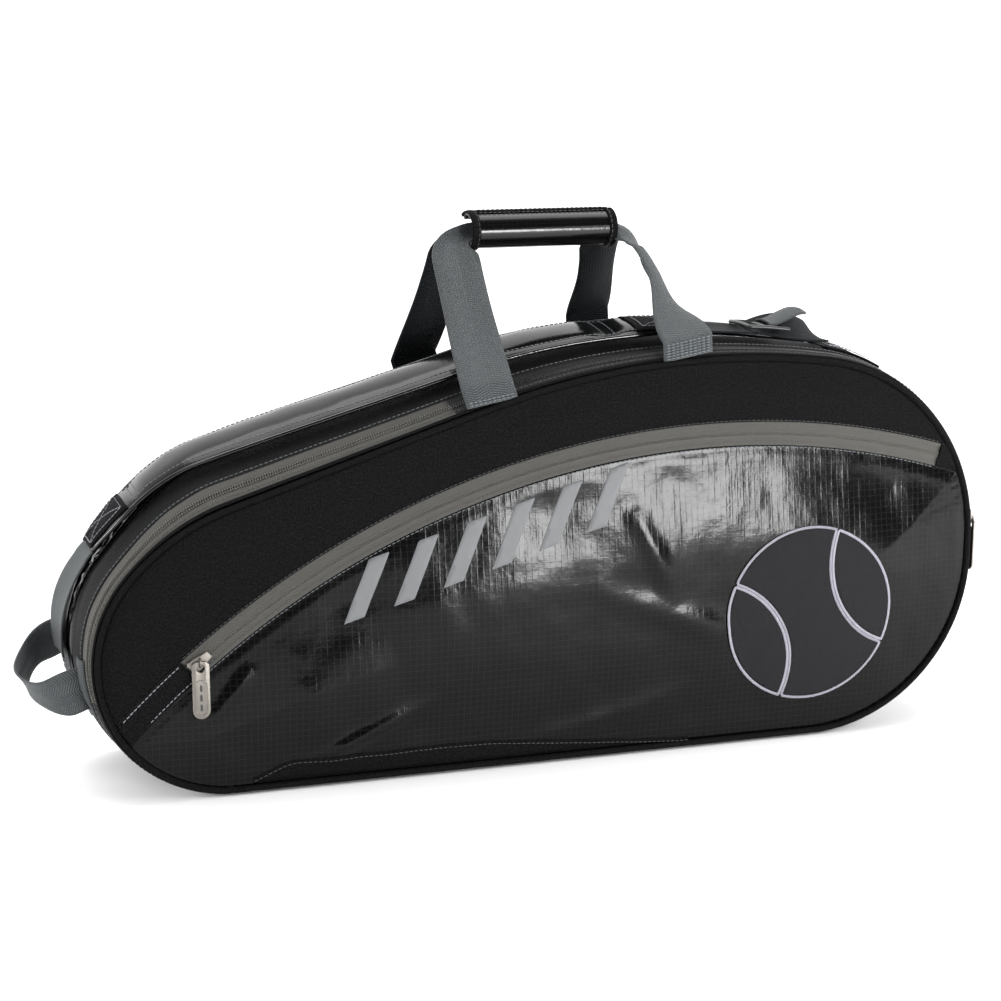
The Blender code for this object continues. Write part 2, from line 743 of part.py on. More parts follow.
def consistent(acrosses, centres):
    """Width directions that keep to one side along the path."""
    kept = [acrosses[0]]
    for index in range(1, len(acrosses)):
        normal_before = kept[-1].cross(centres[index] - centres[index - 1])
        here = acrosses[index]
        normal_here = here.cross(centres[index] - centres[index - 1])
        kept.append(here if normal_here.dot(normal_before) >= 0.0 else -here)
    return kept


def add_handle(name, side, grip_y, grip_width):
    centres, widths, acrosses = handle_path(side, grip_y, grip_width)
    add_ribbon(name, centres, widths, consistent(acrosses, centres), WEBBING_THICK, "webbing")


def add_wrap():
    """The padded sleeve round the front grip, open to the back where the rear grip lies."""
    turns = [WRAP_MOUTH + (2 * math.pi - 2 * WRAP_MOUTH) * step / WRAP_STEPS
             for step in range(WRAP_STEPS + 1)]
    outer = [(WRAP_HALF_DEPTH * math.cos(t), WRAP_HALF_HEIGHT * math.sin(t)) for t in turns]
    depth, height = WRAP_HALF_DEPTH - WRAP_WALL, WRAP_HALF_HEIGHT - WRAP_WALL
    inner = [(depth * math.cos(t), height * math.sin(t)) for t in reversed(turns)]
    length = WRAP_RIGHT_X - WRAP_LEFT_X
    wrap = add_plate("handle_wrap", [outer + inner], 0.0, length, "sleeve", None)
    wrap.rotation_euler = (math.radians(90.0), 0.0, math.radians(90.0))
    wrap.location = (0.5 * (WRAP_LEFT_X + WRAP_RIGHT_X), WRAP_Y, GRIP_Z)


def add_haul_loop():
    """The grab loop across the grip end, its webbing on edge, with pinched sewn ends."""
    outer = HAUL_PIVOT_X - HAUL_OUT_X
    centres, widths = [], []
    for step in range(HAUL_STEPS + 1):
        turn = math.pi * step / HAUL_STEPS
        reach = outer * math.sin(turn) ** HAUL_SQUARENESS
        x = HAUL_PIVOT_X - HAUL_STAND_OFF - (outer - HAUL_STAND_OFF) * reach / outer
        centres.append(Vector((x, -HAUL_ATTACH_Y * math.cos(turn), HAUL_Z)))
        open_part = min(1.0, max(0.0, (reach - HAUL_PINCH_START) / HAUL_PINCH_RUN))
        widths.append(HAUL_END_WIDTH + (WEBBING_WIDTH - HAUL_END_WIDTH) * smooth(open_part))
    up = [Vector((0.0, 0.0, 1.0))] * len(centres)
    add_ribbon("haul_loop", centres, widths, up, WEBBING_THICK, "webbing")


def haul_station():
    """The station on the grip end at the haul loop's height."""
    low = next(i for i in range(len(STATIONS)) if STATIONS[i + 1][1] > HAUL_Z)
    return low + (HAUL_Z - STATIONS[low][1]) / (STATIONS[low + 1][1] - STATIONS[low][1])


def add_haul_tabs():
    at = round(haul_station())
    for name, side in (("haul_tab_front", FRONT), ("haul_tab_rear", REAR)):
        rows = []
        for edge in (-0.5, 0.5):
            y = side * (HAUL_ATTACH_Y + edge * HAUL_TAB_WIDTH)
            rows.append([middle_point(at + step, y, HAUL_TAB_OFFSET) for step in (-1, 0, 1)])
        tab = add_grid(name, rows, "webbing", None, flip=side > 0)
        thicken(tab, HAUL_TAB_THICK, 1.0)


# Shoulder strap

def strap_y(at):
    part = (at - STRAP_FIRST) / (STRAP_LAST - STRAP_FIRST)
    return STRAP_LEFT_Y + (STRAP_RIGHT_Y - STRAP_LEFT_Y) * min(1.0, max(0.0, part))


def add_strap_piece(name, first, last, width, thickness, material, lift, slack=STRAP_SLACK):
    """A length of strap between two stations, lying over the crown."""
    steps = max(1, math.ceil((last - first) / STRAP_STEP))
    rows = [[], [], []]
    for step in range(steps + 1):
        at = first + (last - first) * step / steps
        part = (at - STRAP_FIRST) / (STRAP_LAST - STRAP_FIRST)
        rise = lift + slack * math.sin(math.pi * min(1.0, max(0.0, part)))
        for row, share in zip(rows, (0.5, 0.0, -0.5)):
            row.append(middle_point(at, strap_y(at) + share * width, rise))
    return thicken(add_grid(name, rows, material, None), thickness, 1.0)


def add_shoulder_strap():
    end = STRAP_END_GAP
    web = (STRAP_WEB_WIDTH, WEBBING_THICK, "webbing")
    rise = STRAP_LIFT + STRAP_WEB_RISE
    add_strap_piece("strap_webbing_left", STRAP_FIRST, PAD_FIRST - end, *web, rise)
    add_strap_piece("shoulder_strap_pad", PAD_FIRST, PAD_LAST, STRAP_PAD_WIDTH, STRAP_PAD_THICK,
                    "sleeve", STRAP_LIFT)
    add_strap_piece("strap_webbing_right", PAD_LAST + end, STRAP_LAST, *web, rise)
    add_strap_piece("strap_anchor_left", ANCHOR_FIRST, STRAP_FIRST - end, *web, ANCHOR_LIFT)
    add_strap_piece("strap_anchor_right", STRAP_LAST + end, ANCHOR_LAST, *web, ANCHOR_LIFT)


def rectangle(length, width):
    x, y = 0.5 * length, 0.5 * width
    return [(-x, -y), (x, -y), (x, y), (-x, y)]


def add_ladder_lock():
    """The adjuster on the strap's webbing: a flat frame with two slots."""
    lift = STRAP_LIFT + STRAP_WEB_RISE + STRAP_SLACK * LOCK_SLACK
    before, here, after = (middle_point(at, strap_y(at), lift)
                           for at in (LOCK_AT - LOCK_SPAN, LOCK_AT, LOCK_AT + LOCK_SPAN))
    along = (after - before).normalized()
    up = along.cross(Vector((0.0, 1.0, 0.0))).normalized()
    turn = Matrix((along, up.cross(along), up)).transposed()
    middle = 0.5 * (LOCK_BAR + LOCK_SLOT)
    slots = [[(x + shift, y) for x, y in rectangle(LOCK_SLOT, LOCK_WIDTH - LOCK_RIM)]
             for shift in (-middle, middle)]
    lock = add_plate("ladder_lock", [rectangle(LOCK_LENGTH, LOCK_WIDTH)] + slots,
                     -0.5 * LOCK_THICK, 0.5 * LOCK_THICK, "plastic", None)
    lock.rotation_euler = turn.to_euler()
    lock.location = here + up * (WEBBING_THICK + LOCK_LIFT + 0.5 * LOCK_THICK)


# Whole bodies

def add_base():
    """The flat base, narrower at the grip end."""
    first = EDGE_START_X + BASE_END_GAP
    last = STATIONS[-1][0] - BASE_END_GAP
    work = bmesh.new()
    corners = []
    for x in (first, last):
        half = BASE_HALF_DEPTH + SLOPE * x
        corners.append([work.verts.new((x, side * half, 0.0)) for side in (FRONT, REAR)])
    (a, b), (c, d) = corners
    floor = work.faces.new((a, b, d, c))
    raised = bmesh.ops.extrude_face_region(work, geom=[floor])
    tops = [item for item in raised["geom"] if isinstance(item, bmesh.types.BMVert)]
    bmesh.ops.translate(work, verts=tops, vec=(0.0, 0.0, BASE_THICK))
    bmesh.ops.recalc_face_normals(work, faces=work.faces)
    mesh = bpy.data.meshes.new("base_panel")
    work.to_mesh(mesh)
    work.free()
    add_object("base_panel", mesh, "oxford")


def add_divider():
    """The padded divider between the two compartments."""
    points = [middle_point(at, 0.0, -DIVIDER_INSET) for at in range(len(STATIONS))]
    points = [(point.x, max(point.z, BASE_THICK + GAP)) for point in points]
    half = 0.5 * DIVIDER_THICK
    add_plate("divider_panel", [points], -half, half, "lining", None)


def add_side(prefix, side, frame):
    """The bands of one side's gusset, its zip and the plain layers of its cover."""
    add_band(prefix + "_rib_piping", side, (GUSSET_OUT + RIB_GAP, RIB_OUT - RIB_GAP), "vinyl", frame,
             RIB_THICK, RIB_PROUD)
    middle = 0.5 * (RIB_OUT + TWILL_OUT)
    add_band(prefix + "_twill_band", side, (RIB_OUT, middle, TWILL_OUT), "twill", frame)
    add_band(prefix + "_zip_tape_inner", side, (TWILL_OUT + GAP, ZIP_LINE - 0.5 * GAP), "zip_tape",
             frame, TAPE_THICK)
    add_band(prefix + "_zip_tape_outer", side, (ZIP_LINE + 0.5 * GAP, TAPE_OUT), "zip_tape", frame,
             TAPE_THICK)
    add_edge_piping(prefix + "_edge_piping", side, frame)
    add_plate(prefix + "_lining_board", [closed_edge(LINING_INSET)], LINING_IN, LINING_OUT,
              "lining", frame, side)
    add_handle_tab(prefix + "_handle_tab_left", side, HANDLE_LEFT_X, frame)
    add_handle_tab(prefix + "_handle_tab_right", side, HANDLE_RIGHT_X, frame)
    add_main_slider(prefix, side, frame)


def build():
    frames = {}
    for prefix, side in (("front", FRONT), ("rear", REAR)):
        place = side_matrix(side)
        frames[side] = add_empty(prefix + "_side_frame", place.to_translation(),
                                 place.to_euler())
        add_side(prefix, side, frames[side])
    add_front_panel(frames[FRONT])
    add_pocket_zip(frames[FRONT])
    add_emblem(frames[FRONT])
    add_pocket_slider(frames[FRONT])
    add_plate("rear_panel", [closed_edge(PANEL_INSET)], PANEL_IN, SKIN_OUT, "oxford",
              frames[REAR], REAR)
    last = len(STATIONS) - 1 - BAND_INSET
    add_middle_gusset("grip_end_gusset", BAND_INSET, SHOULDER_SPLIT - GUSSET_SEAM)
    add_middle_gusset("top_gusset", SHOULDER_SPLIT + GUSSET_SEAM, HEAD_SPLIT - GUSSET_SEAM)
    add_middle_gusset("head_end_gusset", HEAD_SPLIT + GUSSET_SEAM, last)
    add_base()
    add_divider()
    add_handle("front_handle_strap", FRONT, FRONT_GRIP_Y, FRONT_GRIP_WIDTH)
    add_handle("rear_handle_strap", REAR, REAR_GRIP_Y, REAR_GRIP_WIDTH)
    add_wrap()
    add_haul_loop()
    add_haul_tabs()
    add_shoulder_strap()
    add_ladder_lock()


STATIONS = walk_edge()
clear_scene()
COLLECTION = make_collection()
CUTTERS = bpy.data.collections.new("cutters")
bpy.context.scene.collection.children.link(CUTTERS)
MATERIALS = make_materials()
build()
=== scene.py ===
import json
import math

import bmesh
import bpy
import numpy as np
from mathutils import Matrix, Vector, noise
from mathutils.bvhtree import BVHTree
from mathutils.geometry import delaunay_2d_cdt, intersect_point_line


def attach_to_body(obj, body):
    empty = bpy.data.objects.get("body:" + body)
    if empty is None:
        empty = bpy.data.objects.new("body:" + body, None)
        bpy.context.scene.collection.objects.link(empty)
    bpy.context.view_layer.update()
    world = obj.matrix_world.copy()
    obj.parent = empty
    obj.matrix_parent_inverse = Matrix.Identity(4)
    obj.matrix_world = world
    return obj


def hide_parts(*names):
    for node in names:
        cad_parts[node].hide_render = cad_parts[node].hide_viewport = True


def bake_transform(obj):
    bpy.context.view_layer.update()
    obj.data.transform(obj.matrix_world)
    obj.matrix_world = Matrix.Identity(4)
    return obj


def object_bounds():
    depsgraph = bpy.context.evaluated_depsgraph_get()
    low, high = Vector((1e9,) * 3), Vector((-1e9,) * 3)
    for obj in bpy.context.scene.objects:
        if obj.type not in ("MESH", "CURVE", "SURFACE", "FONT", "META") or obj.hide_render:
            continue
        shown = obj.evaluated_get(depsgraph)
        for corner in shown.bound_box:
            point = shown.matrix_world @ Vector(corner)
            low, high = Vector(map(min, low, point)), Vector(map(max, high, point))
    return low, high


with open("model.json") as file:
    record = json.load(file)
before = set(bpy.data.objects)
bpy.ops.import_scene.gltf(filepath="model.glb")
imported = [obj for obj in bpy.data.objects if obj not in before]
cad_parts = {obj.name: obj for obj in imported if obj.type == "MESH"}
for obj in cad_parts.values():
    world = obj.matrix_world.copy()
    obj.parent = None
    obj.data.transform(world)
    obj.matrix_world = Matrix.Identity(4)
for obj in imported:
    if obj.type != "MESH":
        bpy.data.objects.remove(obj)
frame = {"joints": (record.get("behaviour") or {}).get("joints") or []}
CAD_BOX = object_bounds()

FRONT, REAR = -1, 1
PREFIX = {FRONT: "front", REAR: "rear"}

# The panel's edge and its layers, as in the part
TAPER = math.radians(3.765)
SLOPE = math.tan(TAPER)
PANEL_DEPTH = 0.0998
EDGE_START_X = -0.275
TAIL_CORNER_R = 0.150
EDGE_RUNS = (                      # radius, turn or length, stations, crown at the end
    (0.110, 130.0, 13, 0.012), (0.180, 32.0, 4, 0.026), (0.0, 0.2218, 4, 0.022),
    (0.680, 26.0, 6, 0.007), (0.165, 82.0, 9, 0.006), (0.0, None, 1, 0.006),
    (TAIL_CORNER_R, 90.0, 9, 0.0),
)
HEAD_ARC_AT = 27
LAST_AT = 46
BAND_FIRST, BAND_LAST = 0.3, 45.7
HINGE_DEPTH = 0.0985
GUSSET_OUT, RIB_OUT, TWILL_OUT, ZIP_LINE, TAPE_OUT = 0.0300, 0.0387, 0.0677, 0.0843, 0.0943
SKIN_OUT = 0.0965
PIPING_R, PIPING_INSET, PANEL_INSET = 0.0025, 0.0032, 0.0060

# The pocket's zip: one arc in the front side frame
ZIP_X, ZIP_Z, ZIP_R, ZIP_HALF = 0.145, -0.440, 0.711, 0.0090
ZIP_LEFT, ZIP_RIGHT = math.radians(129.9), math.radians(73.7)

DOWN = Vector((0.0, 0.0, -1.0))
SIDE = {side: Matrix.Translation((PANEL_DEPTH * math.sin(TAPER), 0.0, 0.0))
        @ Matrix.Rotation(side * TAPER, 4, "Z") for side in (FRONT, REAR)}


# Places on the bag

def smooth(t):
    """From 0 to 1 with a soft start and end."""
    t = min(1.0, max(0.0, t))
    return t * t * (3.0 - 2.0 * t)


def along_run(run, part):
    """A part of the way along one straight or arc of the panel's edge."""
    _, _, x, z, angle, crown, radius, amount, crown_end = run
    height = crown + (crown_end - crown) * smooth(part)
    if not radius:
        heading = math.radians(angle - 90.0)
        return (x + amount * part * math.cos(heading), z + amount * part * math.sin(heading),
                angle, height)
    turned = angle - amount * part
    first, last = math.radians(angle), math.radians(turned)
    return (x + radius * (math.cos(last) - math.cos(first)),
            z + radius * (math.sin(last) - math.sin(first)), turned, height)


def edge_with_starts():
    """The edge's runs, each with its first station and the place it starts from."""
    place, at, made = (EDGE_START_X, 0.0, 270.0, 0.0), 0, []
    for radius, amount, stations, crown_end in EDGE_RUNS:
        if amount is None:
            amount = place[1] - TAIL_CORNER_R
        made.append((at, stations, *place, radius, amount, crown_end))
        place = along_run(made[-1], 1.0)
        at += stations
    return made


EDGE = edge_with_starts()


def edge(at):
    """The panel's edge at station number at: x, z, outward angle and the gusset's crown."""
    run = next(r for r in reversed(EDGE) if at >= r[0] or r[0] == 0)
    return along_run(run, (at - run[0]) / run[1])


def samples(first, last, step=0.006):
    """Station numbers from first to last, about a step apart on the panel's edge."""
    places = []
    for at, stations, _, _, _, _, radius, amount, _ in EDGE:
        a, b = max(first, at), min(last, at + stations)
        if b > a:
            length = (radius * math.radians(amount) if radius else amount) * (b - a) / stations
            count = max(1, math.ceil(length / step))
            places += [a + (b - a) * k / count for k in range(count)]
    return places + [last]


def bag(side, x, depth, z):
    """From a side frame, with depth positive outwards, to the bag's frame."""
    return SIDE[side] @ Vector((x, side * depth, z))


def outward(side, at):
    turn = math.radians(edge(at)[2])
    return SIDE[side].to_3x3() @ Vector((math.cos(turn), 0.0, math.sin(turn)))


def gusset(side, at, depth, lift=0.0):
    """A point on the crowned gusset."""
    x, z, angle, crown = edge(at)
    across = (depth + SLOPE * x) / (HINGE_DEPTH + SLOPE * x)
    height = crown * (1.0 - across * across) + lift
    turn = math.radians(angle)
    return bag(side, x + height * math.cos(turn), depth, z + height * math.sin(turn))


def middle(at, y, lift=0.0):
    """A point on the crowned gusset at y in the bag's frame."""
    side = REAR if y >= 0.0 else FRONT
    return gusset(side, at, abs(y) / math.cos(TAPER) - SLOPE * edge(at)[0], lift)


def crosses_zip(radius, first, last, halvings=40):
    """The station between two others where the inset edge meets a circle about the zip's centre."""
    for _ in range(halvings):
        half = 0.5 * (first + last)
        x, z = inset_edge(half, PANEL_INSET)
        if math.hypot(x - ZIP_X, z - ZIP_Z) < radius:
            first = half
        else:
            last = half
    return half


def inset_edge(at, inset):
    x, z, angle, _ = edge(at)
    turn = math.radians(angle)
    return x - inset * math.cos(turn), z - inset * math.sin(turn)


def zip_point(angle, radius):
    return ZIP_X + radius * math.cos(angle), ZIP_Z + radius * math.sin(angle)


def zip_angle(point):
    return math.atan2(point[1] - ZIP_Z, point[0] - ZIP_X)


def distances(points):
    """How far along a line each of its points is."""
    steps = np.linalg.norm(np.diff(points, axis=0), axis=1)
    return np.concatenate(([0.0], np.cumsum(steps)))


def at_distances(points, run, wanted):
    return np.stack([np.interp(wanted, run, column) for column in points.T], -1)


def spread(points, count):
    """The same line with count points an equal length apart."""
    points = np.array(points, float)
    run = distances(points)
    return at_distances(points, run, np.linspace(0.0, run[-1], count))


def ripple(x, y, z, size):
    """Smooth noise from -1 to 1, with features of about that size."""
    return noise.noise(Vector((x, y, z)) / size)


# Meshes

def add_object(name, data):
    made = bpy.data.objects.new(name, data)
    bpy.context.scene.collection.objects.link(made)
    return made


def evaluated_mesh(piece):
    graph = bpy.context.evaluated_depsgraph_get()
    return bpy.data.meshes.new_from_object(piece.evaluated_get(graph))


def turn_faces_out(mesh, merge=0.0):
    """All faces turned outwards, once points closer than merge are made one."""
    work = bmesh.new()
    work.from_mesh(mesh)
    if merge:
        bmesh.ops.remove_doubles(work, verts=work.verts, dist=merge)
    bmesh.ops.recalc_face_normals(work, faces=work.faces)
    work.to_mesh(mesh)
    work.free()


def new_piece(name, vertices, faces, material, uvs=None):
    mesh = bpy.data.meshes.new(name)
    mesh.from_pydata([tuple(v) for v in vertices], [], [tuple(int(i) for i in f) for f in faces])
    if uvs is not None:
        layer = mesh.uv_layers.new(name="UVMap")
        loops = np.zeros(len(mesh.loops), np.int32)
        mesh.loops.foreach_get("vertex_index", loops)
        layer.data.foreach_set("uv", np.asarray(uvs, np.float32)[loops].ravel())
    mesh.shade_smooth()
    mesh.materials.append(material)
    return add_object(name, mesh)


def thicken(piece, thickness, offset=-1.0):
    solid = piece.modifiers.new("thickness", "SOLIDIFY")
    solid.thickness = thickness
    solid.offset = offset
    made = evaluated_mesh(piece)
    piece.modifiers.clear()
    piece.data = made
    return piece


def grid_faces(rows, columns, closed=False):
    index = np.arange(rows * columns).reshape(rows, columns)
    if closed:
        index = np.concatenate([index, index[:, :1]], 1)
    corners = (index[:-1, :-1], index[1:, :-1], index[1:, 1:], index[:-1, 1:])
    return np.stack(corners, -1).reshape(-1, 4)


def sheet(name, rows, material, thickness=0.0, offset=-1.0, flip=False, planar=False):
    """A surface through rows of points, with UVs in metres, made solid if it has a thickness."""
    grid = np.array([[tuple(p) for p in row] for row in rows], float)
    count, columns = grid.shape[:2]
    faces = grid_faces(count, columns)
    if flip:
        faces = faces[:, ::-1]
    if planar:
        uvs = grid[:, :, (0, 2)].reshape(-1, 2)
    else:
        along, across = distances(grid[count // 2]), distances(grid[:, columns // 2])
        uvs = np.stack(np.meshgrid(along, across), -1).reshape(-1, 2)
    piece = new_piece(name, grid.reshape(-1, 3), faces, material, uvs)
    return thicken(piece, thickness, offset) if thickness else piece


def end_caps(count, ring):
    """The two faces that close a tube of count rings."""
    return [tuple(range(ring)), tuple(reversed(range((count - 1) * ring, count * ring)))]


TUBE_UV = (0.004, 0.002)           # metres of UV per step along and round a tube


def tube(name, points, radius, material, ring=10, closed=False, squeeze=None):
    """A round body along points; squeeze gives (direction, share) to flatten it."""
    points = [Vector(p) for p in points]
    count = len(points)
    vertices, reference = [], None
    for i, here in enumerate(points):
        before = points[i - 1] if i or closed else here        # -1 closes the ring
        after = points[(i + 1) % count] if i + 1 < count or closed else here
        along = (after - before).normalized()
        reference = reference or along.orthogonal().normalized()
        reference = (reference - along * reference.dot(along)).normalized()
        other = along.cross(reference)
        for k in range(ring):
            turn = 2.0 * math.pi * k / ring
            push = (reference * math.cos(turn) + other * math.sin(turn)) * radius
            if squeeze:
                push -= squeeze[0] * push.dot(squeeze[0]) * (1.0 - squeeze[1])
            vertices.append(here + push)
    faces = grid_faces(count, ring, closed=True).tolist()
    if closed:
        last = (count - 1) * ring
        faces += [(last + k, k, (k + 1) % ring, last + (k + 1) % ring) for k in range(ring)]
    else:
        faces += end_caps(count, ring)
    uvs = [(r * TUBE_UV[0], k * TUBE_UV[1]) for r in range(count) for k in range(ring)]
    piece = new_piece(name, vertices, faces, material, uvs)
    turn_faces_out(piece.data)
    return piece


BEAD_PROFILE = ((-0.5, 0.35), (-0.36, 0.85), (0.0, 1.0), (0.36, 0.85), (0.5, 0.35))
TOOTH_PROFILE = ((-0.5, 0.8), (0.25, 1.0), (0.5, 0.7))


def beads(name, frames, size, material, ring=6, profile=BEAD_PROFILE):
    """Small rounded bodies, one at each (middle, along, out), such as stitches or zip teeth."""
    turns = [2.0 * math.pi * (k + 0.5) / ring for k in range(ring)]
    local = np.array([(size[0] * part, 0.5 * size[1] * swell * math.cos(t),
                       0.5 * size[2] * swell * math.sin(t))
                      for part, swell in profile for t in turns])
    faces = grid_faces(len(profile), ring, closed=True).tolist() + end_caps(len(profile), ring)
    vertices, all_faces = [], []
    for k, (centre, along, out) in enumerate(frames):
        along = along.normalized()
        across = out.cross(along).normalized()
        turn = np.array((along, across, along.cross(across)))
        vertices.append(local @ turn + np.array(centre))
        all_faces += [[i + k * len(local) for i in face] for face in faces]
    piece = new_piece(name, np.concatenate(vertices), all_faces, material)
    piece.data.flip_normals()
    return piece


def spaced(points, outs, pitch, start=0.5):
    """Frames a pitch apart along a line of points with their outward directions."""
    points, outs = (np.array([tuple(p) for p in line], float) for line in (points, outs))
    run = distances(points)
    count = max(1, int(run[-1] / pitch))
    frames = []
    for k in range(count):
        here = (k + start) * run[-1] / count
        behind, centre, ahead = (Vector(at_distances(points, run, here + step * pitch))
                                 for step in (-0.3, 0.0, 0.3))
        out = Vector(at_distances(outs, run, here)).normalized()
        if (ahead - behind).length > 1e-7:
            frames.append((centre, ahead - behind, out))
    return frames


# Length, width and height of a stitch or a zip's tooth, and the steps between them
STITCH, HEAVY_STITCH = (0.0031, 0.0008, 0.0007), (0.0032, 0.0014, 0.0012)
SATIN_STITCH, GORE_STITCH = (0.0024, 0.0016, 0.0009), (0.0036, 0.0011, 0.0008)
POCKET_TOOTH, MAIN_TOOTH = (0.0030, 0.0010, 0.0012), (0.0042, 0.0012, 0.0017)
STITCH_STEP, POCKET_TOOTH_STEP, MAIN_TOOTH_STEP = 0.0042, 0.0016, 0.0021
# Radii of cords and thicknesses of cloth
RIB_CORD, EDGE_CORD, BOARD_CORD, DIVIDER_CORD, PAD_CORD, GORE_CORD = (
    0.0027, 0.0026, 0.0022, 0.0026, 0.0019, 0.0009)
POCKET_CLOTH, OXFORD_CLOTH, GUSSET_CLOTH, BINDING_CLOTH, TWILL_CLOTH = (
    0.0009, 0.0014, 0.0018, 0.0012, 0.0018)
POCKET_TAPE, MAIN_TAPE = 0.0008, 0.0009


def each(value, count):
    """A list with one value per point, from such a list or from one value for them all."""
    return list(value) if isinstance(value, (list, tuple)) else [value] * count


def stitches(name, points, outs, material, pitch=STITCH_STEP, size=STITCH):
    """A row of stitches; outs is the direction out of the cloth, in all or at each point."""
    return beads(name, spaced(points, each(outs, len(points)), pitch), size, material)


def attach(piece, where, slot=None, nodes=()):
    """where is a body, or (body, body, start, end), for which the piece is only baked in place."""
    if isinstance(where, str):
        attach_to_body(piece, where)
    else:
        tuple(where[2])
        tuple(where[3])
        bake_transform(piece)
    if nodes:
        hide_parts(*nodes)
    return piece


def join(name, pieces):
    """One piece made of several that share a body."""
    work = bmesh.new()
    materials = []
    for piece in pieces:
        first = len(work.faces)
        work.from_mesh(piece.data)
        work.faces.ensure_lookup_table()
        material = piece.data.materials[0]
        if material not in materials:
            materials.append(material)
        for face in work.faces[first:]:
            face.material_index = materials.index(material)
        bpy.data.objects.remove(piece)
    mesh = bpy.data.meshes.new(name)
    work.to_mesh(mesh)
    work.free()
    for material in materials:
        mesh.materials.append(material)
    return add_object(name, mesh)


CLOTH = {"quality": 6, "mass": 0.2, "tension_stiffness": 8.0, "compression_stiffness": 8.0,
         "shear_stiffness": 8.0, "bending_stiffness": 0.05, "vertex_group_mass": "pins",
         "use_pressure": True}


def rim_pins(rows, columns):
    """Pins that hold a grid of points round its rim."""
    pins = np.zeros((rows, columns))
    pins[[0, -1]] = pins[:, [0, -1]] = 1.0
    return pins.ravel()


def swell(piece, pins, pressure, cap, frames, shrink=0.0):
    """Cloth simulation: the mesh fills out under pressure, held where pins is 1."""
    rest = np.zeros(len(piece.data.vertices) * 3)
    piece.data.vertices.foreach_get("co", rest)
    group = piece.vertex_groups.new(name="pins")
    for index, weight in enumerate(pins):
        if weight > 0.0:
            group.add([index], float(weight), "REPLACE")
    cloth = piece.modifiers.new("cloth", "CLOTH")
    settings = cloth.settings
    for key, value in CLOTH.items():
        setattr(settings, key, value)
    settings.uniform_pressure_force = pressure
    settings.shrink_min = shrink
    settings.effector_weights.gravity = 0.0
    cloth.collision_settings.use_self_collision = False
    cloth.point_cache.frame_end = frames
    scene = bpy.context.scene
    for step in range(1, frames + 1):
        scene.frame_set(step)
    graph = bpy.context.evaluated_depsgraph_get()
    moved = np.zeros_like(rest)
    piece.evaluated_get(graph).data.vertices.foreach_get("co", moved)
    piece.modifiers.remove(cloth)
    scene.frame_set(1)
    shift = (moved - rest).reshape(-1, 3)
    length = np.linalg.norm(shift, axis=1, keepdims=True)
    shift *= np.minimum(1.0, cap / np.maximum(length, 1e-9))
    piece.data.vertices.foreach_set("co", (rest.reshape(-1, 3) + shift).ravel())
    piece.data.update()


# Materials

class Look:
    """A Principled material with short ways to add nodes to it."""

    def __init__(self, name, colour, roughness, metallic=0.0, **sockets):
        self.material = bpy.data.materials.new(name)
        self.material.use_nodes = True
        self.tree = self.material.node_tree
        self.shader = self.tree.nodes["Principled BSDF"]
        self.shader.inputs["Base Color"].default_value = (*colour, 1.0)
        self.shader.inputs["Roughness"].default_value = roughness
        self.shader.inputs["Metallic"].default_value = metallic
        for key, value in sockets.items():
            self.shader.inputs[key.replace("_", " ")].default_value = value
        self.colour = colour

    def add(self, kind, inputs=(), out=0, **settings):
        made = self.tree.nodes.new("ShaderNode" + kind)
        for key, value in settings.items():
            setattr(made, key, value)
        for key, value in dict(inputs).items():
            if isinstance(value, bpy.types.NodeSocket):
                self.tree.links.new(value, made.inputs[key])
            else:
                made.inputs[key].default_value = value
        return made.outputs[out]

    def maths(self, operation, a, b=0.0, c=0.0):
        return self.add("Math", {0: a, 1: b, 2: c}, operation=operation)

    def place(self, by_object=False):
        """The three coordinates in metres, from the UV map or from the object's own space."""
        if by_object:
            vector = self.add("TexCoord", out="Object")
        else:
            vector = self.add("UVMap", uv_map="UVMap")
        return vector, [self.add("SeparateXYZ", {0: vector}, out=k) for k in range(3)]

    def noise(self, vector, size, detail=3.0, roughness=0.5):
        return self.add("TexNoise", {"Vector": vector, "Scale": 1.0 / size, "Detail": detail,
                                     "Roughness": roughness})

    def wave(self, value, period):
        """|sin| of a coordinate, one hump per period."""
        turned = self.maths("MULTIPLY", value, math.pi / period)
        return self.maths("ABSOLUTE", self.maths("SINE", turned))

    def ridges(self, value, period, sharpness):
        """Thin ridges, one per period."""
        return self.maths("POWER", self.wave(value, period), sharpness)

    def weave(self, u, v, period):
        """Plain weave: over in one square and under in the next."""
        cells = [self.maths("FLOOR", self.maths("DIVIDE", value, period)) for value in (u, v)]
        parity = self.maths("PINGPONG", self.maths("ADD", *cells), 1.0)
        over = self.maths("MULTIPLY", parity, self.wave(u, period))
        under = self.maths("MULTIPLY", self.maths("SUBTRACT", 1.0, parity), self.wave(v, period))
        return self.maths("ADD", over, under)

    def scaled_sum(self, *pairs):
        """The sum of sockets, each times a number."""
        total = None
        for socket, share in pairs:
            part = self.maths("MULTIPLY", socket, share)
            total = part if total is None else self.maths("ADD", total, part)
        return total

    def tint(self, factor, light):
        """Between the base colour and a lighter one, by factor."""
        mixed = self.add("Mix", {0: factor, 6: (*self.colour, 1.0), 7: (*light, 1.0)}, out=2,
                         data_type="RGBA")
        self.tree.links.new(mixed, self.shader.inputs["Base Color"])

    def rough(self, factor, low, high):
        spread_out = self.add("MapRange", {"Value": factor, "To Min": low, "To Max": high})
        self.tree.links.new(spread_out, self.shader.inputs["Roughness"])

    def bump(self, height, distance):
        """height times distance is the relief in metres."""
        made = self.add("Bump", {"Height": height, "Distance": distance, "Strength": 1.0})
        self.tree.links.new(made, self.shader.inputs["Normal"])


